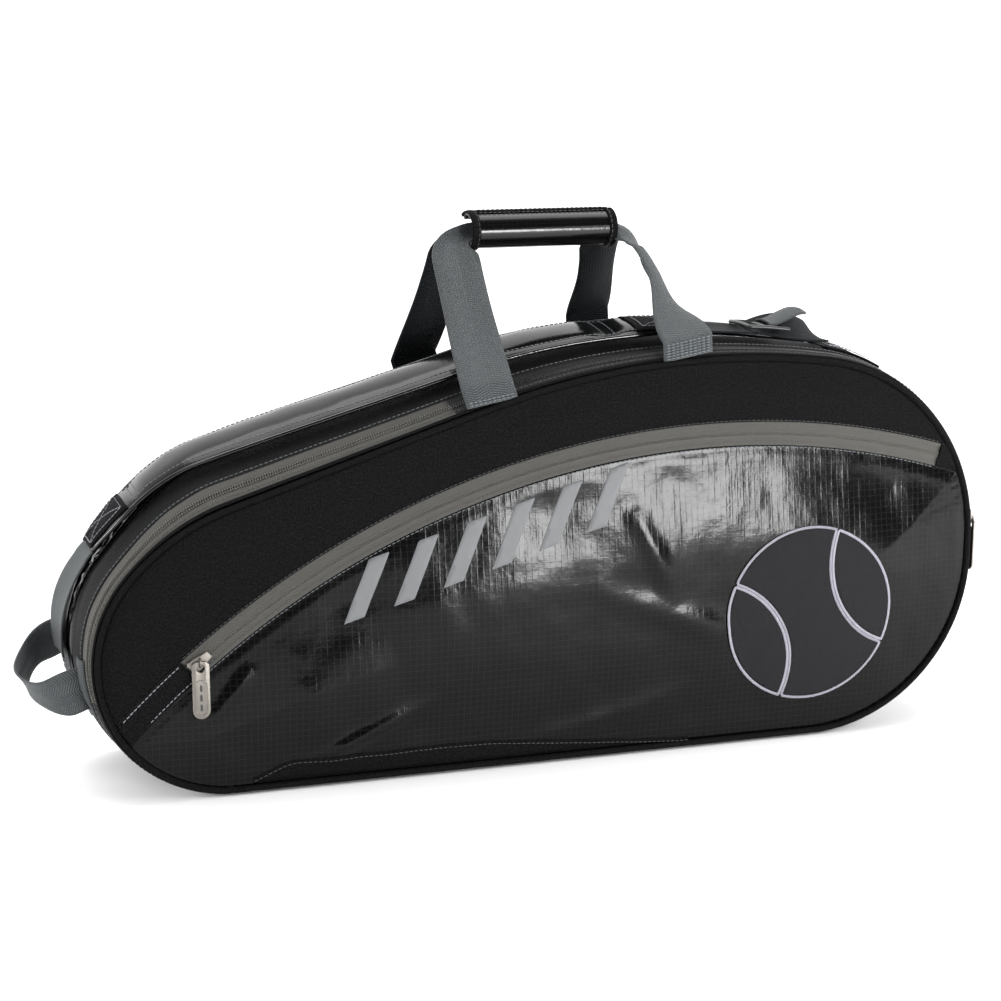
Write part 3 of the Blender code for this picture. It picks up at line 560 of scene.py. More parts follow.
def oxford_look():
    """Plain woven cloth with uneven threads."""
    look = Look("oxford_weave", (0.0007, 0.0007, 0.0008), 0.85, Sheen_Weight=0.0,
                Specular_IOR_Level=0.04)
    vector, (u, v, _) = look.place()
    weave = look.weave(u, v, 0.0011)
    cloud = look.noise(vector, 0.05)
    slub = look.add("MapRange", {"Value": look.noise(vector, 0.0016, 2.0), "From Min": 0.44,
                                 "From Max": 0.62})
    look.tint(look.scaled_sum((weave, 0.20), (cloud, 0.05), (slub, 0.75)),
              (0.0100, 0.0100, 0.0106))
    look.rough(slub, 0.55, 0.85)
    look.bump(look.scaled_sum((weave, 0.7), (slub, 0.6)), 0.00040)
    return look.material


def vinyl_look(name="coated_ripstop", cell=0.0052, relief=0.0006, shine=0.15):
    """Coated ripstop: glossy, with a fine raised grid and faint handling creases."""
    look = Look(name, (0.0004, 0.0004, 0.0005), 0.15, Specular_IOR_Level=shine)
    vector, (u, v, _) = look.place()
    down, along = (look.ridges(value, cell, 26.0) for value in (u, v))
    grid = look.maths("MAXIMUM", down, along)
    streak = look.noise(look.add("Mapping", {0: vector, "Scale": (1.0, 0.22, 1.0)}), 0.010)
    weave = look.weave(u, v, 0.00085)
    crease = look.noise(vector, 0.018, 4.0, 0.55)
    dimple = look.noise(vector, 0.004, 2.0)
    haze = look.noise(vector, 0.06, 3.0)
    look.tint(look.scaled_sum((grid, 0.8), (weave, 0.15), (haze, 0.2)),
              (0.0050, 0.0050, 0.0052))
    look.rough(look.scaled_sum((haze, 0.6), (dimple, 0.4)), 0.07, 0.22)
    look.bump(look.scaled_sum((down, 0.04), (along, 0.012), (weave, 0.008), (streak, 0.55),
                              (crease, 0.6), (dimple, 0.04)), relief)
    return look.material


def twill_look():
    """Ribbed cloth with slanting ribs."""
    look = Look("ribbed_twill", (0.0022, 0.0022, 0.0024), 0.6, Sheen_Weight=0.0,
                Specular_IOR_Level=0.12)
    vector, (u, v, _) = look.place()
    slant = look.maths("ADD", u, look.maths("MULTIPLY", v, 0.9))
    rib = look.wave(slant, 0.0024)
    cross = look.wave(look.maths("SUBTRACT", u, v), 0.0024)
    fluff = look.noise(vector, 0.003)
    pattern = look.maths("MULTIPLY", rib, cross)
    look.tint(look.scaled_sum((pattern, 0.8), (fluff, 0.3)), (0.017, 0.017, 0.018))
    look.rough(fluff, 0.42, 0.75)
    look.bump(look.scaled_sum((pattern, 1.0), (fluff, 0.25)), 0.0006)
    return look.material


def tape_look(name="zip_tape_weave", colour=(0.020, 0.0195, 0.0175),
              light=(0.094, 0.091, 0.082)):
    look = Look(name, colour, 0.75, Sheen_Weight=0.03, Specular_IOR_Level=0.2)
    vector, (u, v, _) = look.place()
    tooth = look.maths("PINGPONG", v, 0.0028)
    herring = look.wave(look.maths("ADD", u, tooth), 0.0017)
    fluff = look.noise(vector, 0.004)
    worn = look.noise(vector, 0.05)
    look.tint(look.scaled_sum((herring, 0.62), (fluff, 0.15), (worn, 0.15)), light)
    look.rough(fluff, 0.6, 0.85)
    look.bump(look.scaled_sum((herring, 0.8), (fluff, 0.4)), 0.0004)
    return look.material


def webbing_look(name="ribbed_webbing", colour=(0.0110, 0.0135, 0.0145),
                 light=(0.047, 0.056, 0.060), sheen=0.08, shine=0.5):
    look = Look(name, colour, 0.6, Sheen_Weight=sheen, Sheen_Roughness=0.35,
                Specular_IOR_Level=shine)
    vector, (u, v, _) = look.place()
    chevron = look.maths("PINGPONG", v, 0.0055)
    cord = look.wave(look.maths("ADD", u, look.maths("MULTIPLY", chevron, 0.8)), 0.0021)
    thread = look.wave(v, 0.0011)
    fluff = look.noise(vector, 0.003)
    worn = look.noise(vector, 0.035)
    pattern = look.maths("MULTIPLY", cord, look.scaled_sum((thread, 0.5), (cord, 0.5)))
    look.tint(look.scaled_sum((pattern, 0.65), (fluff, 0.2), (worn, 0.25)), light)
    look.rough(fluff, 0.5, 0.75)
    look.bump(look.scaled_sum((cord, 0.8), (thread, 0.35), (fluff, 0.2)), 0.0007)
    return look.material


def lining_look():
    """Mesh cloth quilted in diamonds."""
    look = Look("padded_lining", (0.045, 0.046, 0.049), 0.8, Sheen_Weight=0.2)
    vector, (x, _, z) = look.place(by_object=True)
    rising = look.ridges(look.maths("ADD", x, z), 0.028, 10.0)
    falling = look.ridges(look.maths("SUBTRACT", x, z), 0.028, 10.0)
    mesh = look.weave(x, z, 0.0014)
    fluff = look.noise(vector, 0.003)
    seam = look.maths("MAXIMUM", rising, falling)
    # The quilting seams are darker in colour along the lines the bump sinks: painted shade in the
    # seams.
    look.tint(look.scaled_sum((mesh, 0.4), (fluff, 0.4), (seam, -0.5)), (0.095, 0.097, 0.102))
    look.rough(fluff, 0.7, 0.9)
    look.bump(look.scaled_sum((mesh, 0.25), (seam, -2.2), (fluff, 0.2)), 0.0006)
    return look.material


def metal_look():
    """Satin nickel, brushed and a little tarnished."""
    look = Look("satin_nickel", (0.140, 0.129, 0.117), 0.36, metallic=1.0)
    vector, _ = look.place(by_object=True)
    scratch = look.add("Mapping", {0: vector, "Scale": (900.0, 900.0, 60.0)})
    brushed = look.add("TexNoise", {"Vector": scratch, "Scale": 1.0, "Detail": 3.0})
    tarnish = look.noise(vector, 0.006)
    look.tint(look.scaled_sum((tarnish, 0.6), (brushed, 0.3)), (0.235, 0.218, 0.197))
    look.rough(look.scaled_sum((brushed, 0.6), (tarnish, 0.5)), 0.3, 0.5)
    look.bump(brushed, 0.00004)
    return look.material


def plain_look(name, colour, light, roughness, grain, relief, **sockets):
    """A grained look for moulded plastic, thread and ink."""
    look = Look(name, colour, roughness, **sockets)
    vector, _ = look.place(by_object=True)
    speck = look.noise(vector, grain)
    cloud = look.noise(vector, 20.0 * grain)
    look.tint(look.scaled_sum((speck, 0.5), (cloud, 0.5)), light)
    look.rough(speck, roughness * 0.85, min(1.0, roughness * 1.15))
    look.bump(speck, relief)
    return look.material


def applique_look():
    look = Look("applique_weave", (0.0045, 0.0044, 0.0050), 0.8, Specular_IOR_Level=0.12)
    vector, (x, _, z) = look.place(by_object=True)
    mesh = look.weave(x, z, 0.0013)
    fluff = look.noise(vector, 0.0025)
    look.tint(look.scaled_sum((mesh, 0.6), (fluff, 0.3)), (0.017, 0.0165, 0.019))
    look.rough(fluff, 0.7, 0.9)
    look.bump(look.scaled_sum((mesh, 0.7), (fluff, 0.4)), 0.0003)
    return look.material


OXFORD = oxford_look()
VINYL = vinyl_look()
SLEEVE = vinyl_look("coated_sleeve", 0.0042, 0.00025, 0.26)
GLOSS = vinyl_look("glossy_ripstop", 0.0052, 0.0005, 0.55)
TWILL = twill_look()
TAPE = tape_look()
BLACK_TAPE = tape_look("black_tape_weave", (0.003, 0.003, 0.0033), (0.011, 0.011, 0.012))
WEBBING = webbing_look()
# A darker copy of the webbing, with less sheen and shine. On the rear handle its darkness is
# painted shade; the strap's right webbing and loop use it too.
DARK_AND_SHADED_WEBBING = webbing_look("dark_webbing_painted_shade", (0.0025, 0.0031, 0.0036), (0.0105, 0.0130, 0.0152),
                            0.01, 0.12)
LINING = lining_look()
METAL = metal_look()
APPLIQUE = applique_look()
COIL = plain_look("coil_nylon", (0.050, 0.049, 0.042), (0.11, 0.108, 0.095), 0.42, 0.0008, 0.00005)
BLACK_COIL = plain_look("black_coil_nylon", (0.012, 0.012, 0.013), (0.03, 0.03, 0.032), 0.4,
                        0.0008, 0.00005)
PLASTIC = plain_look("black_acetal", (0.013, 0.013, 0.014), (0.028, 0.028, 0.03), 0.38, 0.0006,
                     0.00004)
THREAD = plain_look("black_thread", (0.012, 0.012, 0.013), (0.04, 0.04, 0.042), 0.55, 0.0004,
                    0.00004)
PALE_THREAD = plain_look("lilac_thread", (0.125, 0.122, 0.145), (0.225, 0.218, 0.26), 0.4, 0.0004,
                         0.00005, Sheen_Weight=0.3)
GREY_THREAD = plain_look("grey_thread", (0.050, 0.056, 0.060), (0.12, 0.132, 0.14), 0.5, 0.0004,
                         0.00004)
INK = plain_look("grey_ink", (0.095, 0.098, 0.102), (0.140, 0.144, 0.150), 0.7, 0.0012, 0.00003)


# Where pieces ride. A two-body place is (body, body, start, end), which attach only bakes in place.

def hinge(name):
    joint = next(j for j in frame["joints"] if j["name"] == name)
    return Vector(joint["pos_m"]), Vector(joint["axis"])


def pocket_fold():
    """The two bodies and two points either side of the line between the pocket zip's ends, about
    which its upper part would bend.
    """
    place, axis = hinge("pocket_lip_fold")
    up = axis.cross(Vector((0.0, 1.0, 0.0))).normalized()
    up = up if up.z > 0.0 else -up
    return ("front_cover", "pocket_lip", place - up * 0.004, place + up * 0.035)


def handle_fold(side):
    prefix = PREFIX[side]
    place, _ = hinge(prefix + "_handle_fold")
    up = outward(side, 19.0)
    return (prefix + "_cover", prefix + "_handle", place - up * 0.004, place + up * 0.012)


# The front panel

def radial_edge(first, last, count, inset=PANEL_INSET):
    """Points along the inset edge from one station to another, past the base if it's lower."""
    if first < last:
        points = [inset_edge(at, inset) for at in samples(first, last, 0.003)]
    else:
        points = [inset_edge(at, inset) for at in samples(first, LAST_AT, 0.003)]
        points += [inset_edge(at, inset) for at in samples(0.0, last, 0.003)]
    return spread(points, count)


def between(low, high, count):
    """Rows of points from one line to another."""
    return [low + (high - low) * row / (count - 1) for row in range(count)]


def border_distance(rows):
    """Each point's distance from the outline of its patch."""
    grid = np.stack(rows)
    outline = np.concatenate([grid[0], grid[-1]])
    flat = grid.reshape(-1, 2)
    best = np.full(len(flat), 9.0)
    for point in outline[::2]:
        best = np.minimum(best, np.hypot(*(flat - point).T))
    return best.reshape(grid.shape[:2])


def skin(name, side, rows, relief, material):
    """A fabric skin on a cover's panel; relief(x, z, border) is its height over the panel."""
    border = border_distance(rows)
    points = [[bag(side, x, SKIN_OUT + relief(x, z, border[r, c]), z)
               for c, (x, z) in enumerate(row)] for r, row in enumerate(rows)]
    return sheet(name, points, material, flip=side == REAR, planar=True)


CREASES = (                        # the pocket's long folds: start, end, width, height
    ((-0.245, 0.004), (-0.105, 0.068), 0.0075, 0.0034),
    ((-0.292, 0.062), (-0.262, 0.106), 0.006, 0.0026),
    ((-0.06, 0.006), (0.12, 0.055), 0.011, 0.0030),
    ((0.02, 0.150), (0.17, 0.090), 0.012, 0.0024),
    ((0.06, 0.215), (0.10, 0.130), 0.008, 0.0020),
)


def crease(x, z, start, end, width, height):
    """A soft ridge between two points that fades out at both."""
    along = Vector(end) - Vector(start)
    away = Vector((x, z)) - Vector(start)
    part = away.dot(along) / along.length_squared
    if not 0.0 < part < 1.0:
        return 0.0
    off = (away - along * part).length / width
    return height * math.sin(math.pi * part) ** 0.7 * math.exp(-off * off)


def pocket_relief(x, z, border):
    """The filled pocket: fuller in the middle, with creases that fan out from its lower edge."""
    full = 0.0085 * smooth(border / 0.10) + 0.0012 * smooth(border / 0.012)
    held = smooth(border / 0.03)
    fan = ripple(0.9 * x + 0.35 * z, 0.3, 0.12 * z, 0.030)
    fold = ripple(x + 0.5 * z, 4.0, 0.35 * z, 0.075)
    small = ripple(x, 7.0, z, 0.022)
    low = 1.0 - smooth((z - 0.05) / 0.16)
    folds = sum(crease(x, z, *item) for item in CREASES)
    waves = 0.0013 * fan * (0.4 + low) + 0.0020 * fold + 0.0004 * small
    return full + held * (waves + folds) - 0.0008


def yoke_relief(x, z, border):
    held = smooth(border / 0.02)
    return 0.0035 * smooth(border / 0.05) + held * 0.0010 * ripple(x, 2.0, z, 0.07) - 0.0004


def panel_relief(x, z, border):
    held = smooth(border / 0.03)
    return 0.0045 * smooth(border / 0.08) + held * 0.0018 * ripple(x, 9.0, z, 0.09) - 0.0004


ZIP_CLEAR = ZIP_HALF + 0.0003      # from the zip's line to the cloth beside its tapes


def make_front_panel():
    """The pocket and the yoke above it, cut along the pocket's zip; its four cuts come back."""
    low_r, high_r = ZIP_R - ZIP_CLEAR, ZIP_R + ZIP_CLEAR
    left_low, left_high = crosses_zip(low_r, 1.0, 13.0), crosses_zip(high_r, 1.0, 13.0)
    right_low, right_high = crosses_zip(low_r, 37.0, 27.0), crosses_zip(high_r, 37.0, 27.0)

    def arc(radius, left, right, count):
        first, last = (zip_angle(inset_edge(at, PANEL_INSET)) for at in (left, right))
        return np.array([zip_point(first + (last - first) * k / (count - 1), radius)
                         for k in range(count)])

    columns, rows = 230, 90
    top = arc(low_r, left_low, right_low, columns)
    bottom = radial_edge(right_low, left_low, columns)[::-1]
    pocket = skin("pocket_front", FRONT, between(bottom, top, rows), pocket_relief, VINYL)
    swell(pocket, rim_pins(rows, columns), 0.25, 0.004, 16, shrink=-0.012)
    thicken(pocket, POCKET_CLOTH)
    attach(pocket, pocket_fold(), "vinyl", ("pocket_panel", "pocket_lip_panel"))
    columns, rows = 200, 34
    low = arc(high_r, left_high, right_high, columns)
    high = radial_edge(left_high, right_high, columns)
    yoke = skin("front_yoke", FRONT, between(low, high, rows), yoke_relief, OXFORD)
    thicken(yoke, OXFORD_CLOTH)
    attach(yoke, "front_cover", "oxford", ("front_yoke_panel",))
    return pocket, (left_low, left_high, right_low, right_high)


def zip_run(radius, first, last, depth, count=260):
    """Points along an arc about the pocket zip's centre, at a depth in the front side frame."""
    points = [zip_point(angle, radius) for angle in np.linspace(first, last, count)]
    return [bag(FRONT, x, depth, z) for x, z in points]


def make_pocket_zip():
    """Both tapes of the pocket's zip, each with its teeth and two rows of stitches."""
    for name, sign, where in (("upper", 1.0, "front_cover"), ("lower", -1.0, pocket_fold())):
        inner, outer = sign * 0.0009, sign * (ZIP_HALF + 0.0010)
        rows = []
        for part in (0.0, 0.12, 0.3, 0.6, 0.8, 1.0):
            rise = 0.0011 * (1.0 - smooth(part / 0.3)) + 0.0006 * smooth((part - 0.6) / 0.3)
            rows.append(zip_run(ZIP_R + inner + (outer - inner) * part, ZIP_LEFT, ZIP_RIGHT,
                                SKIN_OUT + rise - 0.0002))
        tape = sheet("pocket_zip_tape_" + name + "_cloth", rows, TAPE, POCKET_TAPE,
                     flip=sign < 0.0)
        attach(tape, where, "zip_tape", ("pocket_zip_tape_" + name,))
        line = zip_run(ZIP_R + inner * 1.3, ZIP_LEFT, ZIP_RIGHT, SKIN_OUT + 0.0008)
        teeth = [(centre, up.cross(along) * -sign, up) for centre, along, up in
                 spaced(line, each(-INTO_BAG, len(line)), POCKET_TOOTH_STEP, 0.5 + 0.25 * sign)]
        coil = beads("pocket_zip_coil_" + name, teeth, POCKET_TOOTH, COIL, 6, TOOTH_PROFILE)
        attach(coil, where, "zip_tape")
        for k, (past, lift, slot) in enumerate(((-0.0032, 0.0007, "zip_tape"),
                                                (0.0012, 0.0016, "oxford"))):
            seam = zip_run(ZIP_R + outer + sign * past, ZIP_LEFT - 0.004, ZIP_RIGHT + 0.004,
                           SKIN_OUT + lift)
            row = stitches("pocket_zip_stitches_" + name + "_" + str(k), seam, -INTO_BAG,
                           GREY_THREAD if k and sign < 0.0 else THREAD)
            attach(row, where, slot)


def make_zip_ends():
    """Cloth set in past both ends of the pocket zip, with a corded seam along each edge."""
    left_low, left_high, right_low, right_high = CUTS
    for label, start, low_at, high_at, stitched in (
            ("left", ZIP_LEFT, left_low, left_high, ((1, 0.7), (-2, 0.95))),
            ("right", ZIP_RIGHT, right_low, right_high, ())):
        node = "pocket_zip_end_" + label
        low, high = (zip_angle(inset_edge(at, PANEL_INSET)) for at in (low_at, high_at))
        rows = []
        for part in np.linspace(-1.0, 1.0, 11):
            end = low + (high - low) * (0.5 + 0.5 * part)
            rows.append(zip_run(ZIP_R + part * (ZIP_HALF + 0.0012), start, end,
                                SKIN_OUT + 0.0004 + 0.0016 * (1.0 - part * part), 26))
        cloth = sheet(node + "_cloth", rows, OXFORD, BINDING_CLOTH, flip=label == "left",
                      planar=True)
        attach(cloth, "front_cover", "oxford", (node,))
        cords = [tube("cord", [p - INTO_BAG * 0.0004 for p in rows[k]], GORE_CORD, VINYL, 8)
                 for k in (0, -1)]
        attach(join(node + "_cords", cords), "front_cover", "oxford")
        seams = [stitches("row", [p - INTO_BAG * 0.0010
                                  for p in rows[k][1:int(len(rows[k]) * share)]],
                          -INTO_BAG, PALE_THREAD, 0.0040, GORE_STITCH)
                 for k, share in stitched]
        if seams:
            attach(join(node + "_stitches", seams), "front_cover", "oxford")


INTO_BAG = SIDE[FRONT].to_3x3() @ Vector((0.0, 1.0, 0.0))
POCKET, CUTS = make_front_panel()
make_pocket_zip()
make_zip_ends()


# Draping on the pocket

def surface_of(piece):
    mesh = piece.data
    return BVHTree.FromPolygons([v.co.copy() for v in mesh.vertices],
                                [tuple(p.vertices) for p in mesh.polygons])


def laid_on(surface, points, outs, lift=0.0):
    """Points dropped onto a surface along their outward directions, with the ways out there."""
    placed, ways = [], []
    for point, out in zip(points, outs):
        point, out = Vector(point), Vector(out).normalized()
        hit, normal, _, _ = surface.ray_cast(point + out * 0.02, -out)
        if hit is not None:
            point, out = hit, (normal if normal.dot(out) > 0.0 else -normal)
        placed.append(point + out * lift)
        ways.append(out)
    return placed, ways


POCKET_SURFACE = surface_of(POCKET)


def on_pocket(x, z, lift=0.0):
    """A point on the pocket's fabric, or a lift above it, and the way out of it."""
    start = bag(FRONT, x, SKIN_OUT + 0.05, z)
    hit, normal, _, _ = POCKET_SURFACE.ray_cast(start, INTO_BAG)
    if hit is None:
        hit, normal = bag(FRONT, x, SKIN_OUT, z), -INTO_BAG
    if normal.dot(INTO_BAG) > 0.0:
        normal = -normal
    return hit + normal * lift, normal


def filled(outline, spacing):
    """Points and triangles that fill a closed outline of (x, z) points."""
    outline = [Vector(p) for p in outline]
    xs, zs = [p[0] for p in outline], [p[1] for p in outline]
    inner = []
    for i in range(int((max(xs) - min(xs)) / spacing) + 1):
        for k in range(int((max(zs) - min(zs)) / spacing) + 1):
            point = Vector((min(xs) + (i + 0.5 * (k % 2)) * spacing, min(zs) + k * spacing))
            if inside(point, outline):
                inner.append(point)
    count = len(outline)
    made = delaunay_2d_cdt(outline + inner, [(k, (k + 1) % count) for k in range(count)],
                           [], 1, 1e-7)
    return [tuple(p) for p in made[0]], [tuple(f) for f in made[2]]


def inside(point, outline, margin=0.0012):
    """Whether a point is inside an outline and at least a margin from it."""
    crossings = False
    before = outline[-1]
    for here in outline:
        if (here[1] > point[1]) != (before[1] > point[1]):
            part = (point[1] - here[1]) / (before[1] - here[1])
            if point[0] < here[0] + part * (before[0] - here[0]):
                crossings = not crossings
        nearest, share = intersect_point_line(point, here, before)
        nearest = nearest if 0.0 <= share <= 1.0 else (here if share < 0.0 else before)
        if (Vector(nearest[:2]) - point).length < margin:
            return False
        before = here
    return crossings


def patch(name, outline, material, lift, thickness, spacing=0.004):
    """A flat cut of cloth or ink that lies on the pocket."""
    points, faces = filled(outline, spacing)
    piece = new_piece(name, [on_pocket(x, z, lift)[0] for x, z in points], faces, material,
                      points)
    if piece.data.polygons[0].normal.dot(INTO_BAG) > 0.0:
        piece.data.flip_normals()
    return thicken(piece, thickness)


# The ball sign and the plain bars

BALL_X, BALL_Z, BALL_R = 0.222, 0.112, 0.076
SEAM_X, SEAM_R, SEAM_GAP = 0.104, 0.078, 0.0025
BALL_TILT = math.radians(24.0)


def arc_about(x, radius, first, last, count):
    turns = np.linspace(first, last, count)
    return [(x + radius * math.cos(t), radius * math.sin(t)) for t in turns]


def lens_angles(radius):
    x = (BALL_R ** 2 - radius ** 2 + SEAM_X ** 2) / (2.0 * SEAM_X)
    z = math.sqrt(BALL_R ** 2 - x * x)
    return math.atan2(z, x), math.atan2(z, x - SEAM_X)


def ball_shapes():
    ball, seam = lens_angles(SEAM_R - SEAM_GAP)
    lobe = arc_about(0.0, BALL_R, -ball, ball, 40)
    lobe += arc_about(SEAM_X, SEAM_R - SEAM_GAP, seam, 2 * math.pi - seam, 36)[1:-1]
    ball, seam = lens_angles(SEAM_R)
    waist = arc_about(0.0, BALL_R, ball, math.pi - ball, 36)
    waist += arc_about(-SEAM_X, SEAM_R, math.pi - seam, seam - math.pi, 36)[1:-1]
    waist += arc_about(0.0, BALL_R, math.pi + ball, 2 * math.pi - ball, 36)
    waist += arc_about(SEAM_X, SEAM_R, 2 * math.pi - seam, seam, 36)[1:-1]
    return {"lobe_right": lobe, "lobe_left": [(-x, z) for x, z in lobe], "waist": waist}


def make_emblem():
    cos, sin = math.cos(BALL_TILT), math.sin(BALL_TILT)
    for name, shape in ball_shapes().items():
        outline = [(BALL_X + x * cos - z * sin, BALL_Z + x * sin + z * cos) for x, z in shape]
        outline = [tuple(p) for p in spread(outline + outline[:1], 150)[:-1]]
        cloth = patch("emblem_" + name + "_cloth", outline, APPLIQUE, 0.0012, 0.0012)
        attach(cloth, "front_cover", "applique", ("emblem_" + name,))
        ring = spread(outline + outline[:1], 420)
        frames = []
        for k in range(len(ring) - 1):
            here, out = on_pocket(*ring[k], 0.0014)
            after, _ = on_pocket(*ring[k + 1], 0.0014)
            frames.append((here, (after - here).cross(out), out))
        edge_ring = beads("emblem_" + name + "_satin_stitch", frames, SATIN_STITCH, PALE_THREAD, 5)
        attach(edge_ring, "front_cover", "applique")


BAR_COUNT, BAR_WIDTH, BAR_HEIGHT, BAR_PITCH = 6, 0.017, 0.052, 0.041
BAR_SLANT, BAR_X, BAR_Z, BAR_CLIMB = 0.022, -0.186, 0.134, 0.30


def make_bars():
    """A row of plain slanted bars printed across the pocket."""
    for k in range(BAR_COUNT):
        x = BAR_X + k * BAR_PITCH
        z = BAR_Z + k * BAR_PITCH * BAR_CLIMB
        corners = ((x, z), (x + BAR_WIDTH, z + BAR_WIDTH * BAR_CLIMB),
                   (x + BAR_WIDTH + BAR_SLANT, z + BAR_HEIGHT + BAR_WIDTH * BAR_CLIMB),
                   (x + BAR_SLANT, z + BAR_HEIGHT), (x, z))
        outline = [tuple(p) for p in spread(corners, 60)[:-1]]
        bar = patch("printed_bar_" + str(k + 1), outline, INK, 0.00035, 0.0003)
        attach(bar, pocket_fold(), "applique")


BORDER_X, BORDER_FOOT = (-0.262, 0.115), 0.0072


def make_border():
    """The matte strip that the filled pocket hangs over, along its lower edge."""
    xs = np.linspace(*BORDER_X, 110)
    tops = []
    for x in xs:
        rise = smooth((x + 0.275) / 0.05) * (1.0 - smooth((x + 0.09) / 0.215))
        tops.append((x, 0.0088 + 0.0150 * rise + 0.0006 * ripple(x, 1.0, 0.0, 0.03)))
    strip = patch("pocket_lower_border", tops + [(x, BORDER_FOOT) for x in xs[::-1]], OXFORD,
                  0.0006, 0.0010)
    attach(strip, "front_cover", "oxford")
    line, outs = zip(*(on_pocket(x, z - 0.0024, 0.0017) for x, z in tops))
    attach(stitches("pocket_lower_border_stitches", line, outs, THREAD), "front_cover", "oxford")


make_emblem()
make_bars()
make_border()


# Gusset bands, zips and pipings

def band(name, side, depths, material, thickness, lift=lambda part, at: 0.0,
         first=BAND_FIRST, last=BAND_LAST, step=0.005):
    """A strip of the gusset between two depths; lift(part across, station) is its relief."""
    places = samples(first, last, step)
    count = max(3, int((depths[1] - depths[0]) / 0.003) + 1)
    rows = []
    for k in range(count):
        part = k / (count - 1)
        depth = depths[0] + (depths[1] - depths[0]) * part
        rows.append([gusset(side, at, depth, lift(part, at)) for at in places])
    return sheet(name, rows, material, thickness, flip=side > 0)


def station_at(x=None, z=None):
    """The station on the grip end at a height z, or on the top at x."""
    axis, wanted, stations = (1, z, range(1, 1300)) if x is None else (0, x, range(750, 1800))
    return min((k / 50 for k in stations), key=lambda at: abs(edge(at)[axis] - wanted))


GREY_FIRST, GREY_LAST = station_at(z=0.083), station_at(x=-0.089)


TWILL_HEM = TWILL_OUT + 0.0062     # the twill is folded back over the tape


def zip_lift(part, at):
    """The main zips' tapes wave a little."""
    return 0.0004 + 0.0005 * ripple(at, 3.0 * part, 0.0, 0.9)


def make_main_zip(side):
    """One compartment's zip: grey tape along the grip end's top, and black below and past it."""
    prefix = PREFIX[side]
    parts = (("grey", GREY_FIRST, GREY_LAST, TAPE, COIL),
             ("black_low", BAND_FIRST, GREY_FIRST, BLACK_TAPE, BLACK_COIL),
             ("black_top", GREY_LAST, BAND_LAST, BLACK_TAPE, BLACK_COIL))
    for half, depths, body, sign in (
            ("inner", (TWILL_OUT + 0.0004, ZIP_LINE - 0.0003), "root", 1.0),
            ("outer", (ZIP_LINE + 0.0003, TAPE_OUT), prefix + "_cover", -1.0)):
        across = SIDE[side].to_3x3() @ Vector((0.0, sign * side, 0.0))
        cloths, coils = [], []
        for label, first, last, tape, coil in parts:
            name = prefix + "_zip_" + half + "_" + label
            cloths.append(band(name, side, depths, tape, MAIN_TAPE, zip_lift, first, last))
            places = samples(first, last, 0.004)
            line = [gusset(side, at, ZIP_LINE - sign * 0.0012, 0.0007) for at in places]
            outs = [outward(side, at) for at in places]
            teeth = [(centre, across, out) for centre, _, out in
                     spaced(line, outs, MAIN_TOOTH_STEP, 0.3 if sign > 0.0 else 0.8)]
            coils.append(beads(name + "_teeth", teeth, MAIN_TOOTH, coil, 6, TOOTH_PROFILE))
        node = prefix + "_zip_tape_" + half
        attach(join(node + "_cloth", cloths), body, "zip_tape", (node,))
        attach(join(prefix + "_zip_coil_" + half, coils), body, "zip_tape")


def make_bands(side):
    """One side's corded rib, twill band, seams, and the cover's piping and binding."""
    prefix = PREFIX[side]
    cover = prefix + "_cover"
    twill = band(prefix + "_twill_cloth", side, (RIB_OUT - 0.001, TWILL_HEM), TWILL, TWILL_CLOTH,
                 lambda part, at: 0.0008 + 0.0016 * math.sin(math.pi * part)
                 + 0.0008 * ripple(0.5 * at, part, 1.0, 0.8))
    attach(twill, "root", "twill", (prefix + "_twill_band",))
    places = samples(BAND_FIRST, BAND_LAST, 0.005)
    outs = [outward(side, at) for at in places]
    cord = [gusset(side, at, 0.5 * (GUSSET_OUT + RIB_OUT),
                   0.0004 + 0.0005 * ripple(at, 5.0, 0.0, 0.7)) for at in places]
    attach(tube(prefix + "_rib_cord", cord, RIB_CORD, GLOSS), "root", "vinyl",
           (prefix + "_rib_piping",))
    for name, depth, lift, thread, body, slot in (
            ("rib_stitches_twill", RIB_OUT + 0.0024, 0.0010, GREY_THREAD, "root", "twill"),
            ("rib_stitches_gusset", GUSSET_OUT - 0.0030, 0.0016, GREY_THREAD, "root", "twill"),
            ("zip_stitches", TWILL_HEM - 0.0020, 0.0016, GREY_THREAD, "root", "twill"),
            ("tape_stitches", TAPE_OUT - 0.0022, 0.0011, THREAD, cover, "zip_tape")):
        line = [gusset(side, at, depth, lift) for at in places]
        attach(stitches(prefix + "_" + name, line, outs, thread), body, slot)
    ring = [inset_edge(at, PIPING_INSET) for at in samples(0.0, LAST_AT, 0.005)]
    last_x, first_x = ring[-1][0], ring[0][0]
    ring += [(last_x + (first_x - last_x) * k / 90, ring[0][1]) for k in range(1, 90)]
    path = [bag(side, x, PANEL_DEPTH - PIPING_R, z) for x, z in ring]
    piping = tube(prefix + "_edge_cord", path, EDGE_CORD, OXFORD, 12, closed=True)
    attach(piping, cover, "oxford", (prefix + "_edge_piping",))
    binding = band(prefix + "_edge_binding", side, (TAPE_OUT - 0.0006, PANEL_DEPTH - 0.0030),
                   OXFORD, BINDING_CLOTH, lambda part, at: 0.0007 * math.sin(math.pi * part))
    attach(binding, cover, "oxford")


def gusset_lift(part, at):
    """The padded gusset swells between its ribs and creases over the grip end's shoulder."""
    full = 1.0 - (2.0 * part - 1.0) ** 2
    creased = math.exp(-((at - 12.0) / 5.0) ** 2)
    fold = ripple(1.6 * at, 1.2 * part, 2.0, 1.0) * (0.0012 + 0.0030 * creased)
    fine = ripple(4.0 * at, 3.0 * part, 5.0, 1.0) * (0.0004 + 0.0008 * creased)
    return full * (0.0008 + 0.6 * (fold + fine))


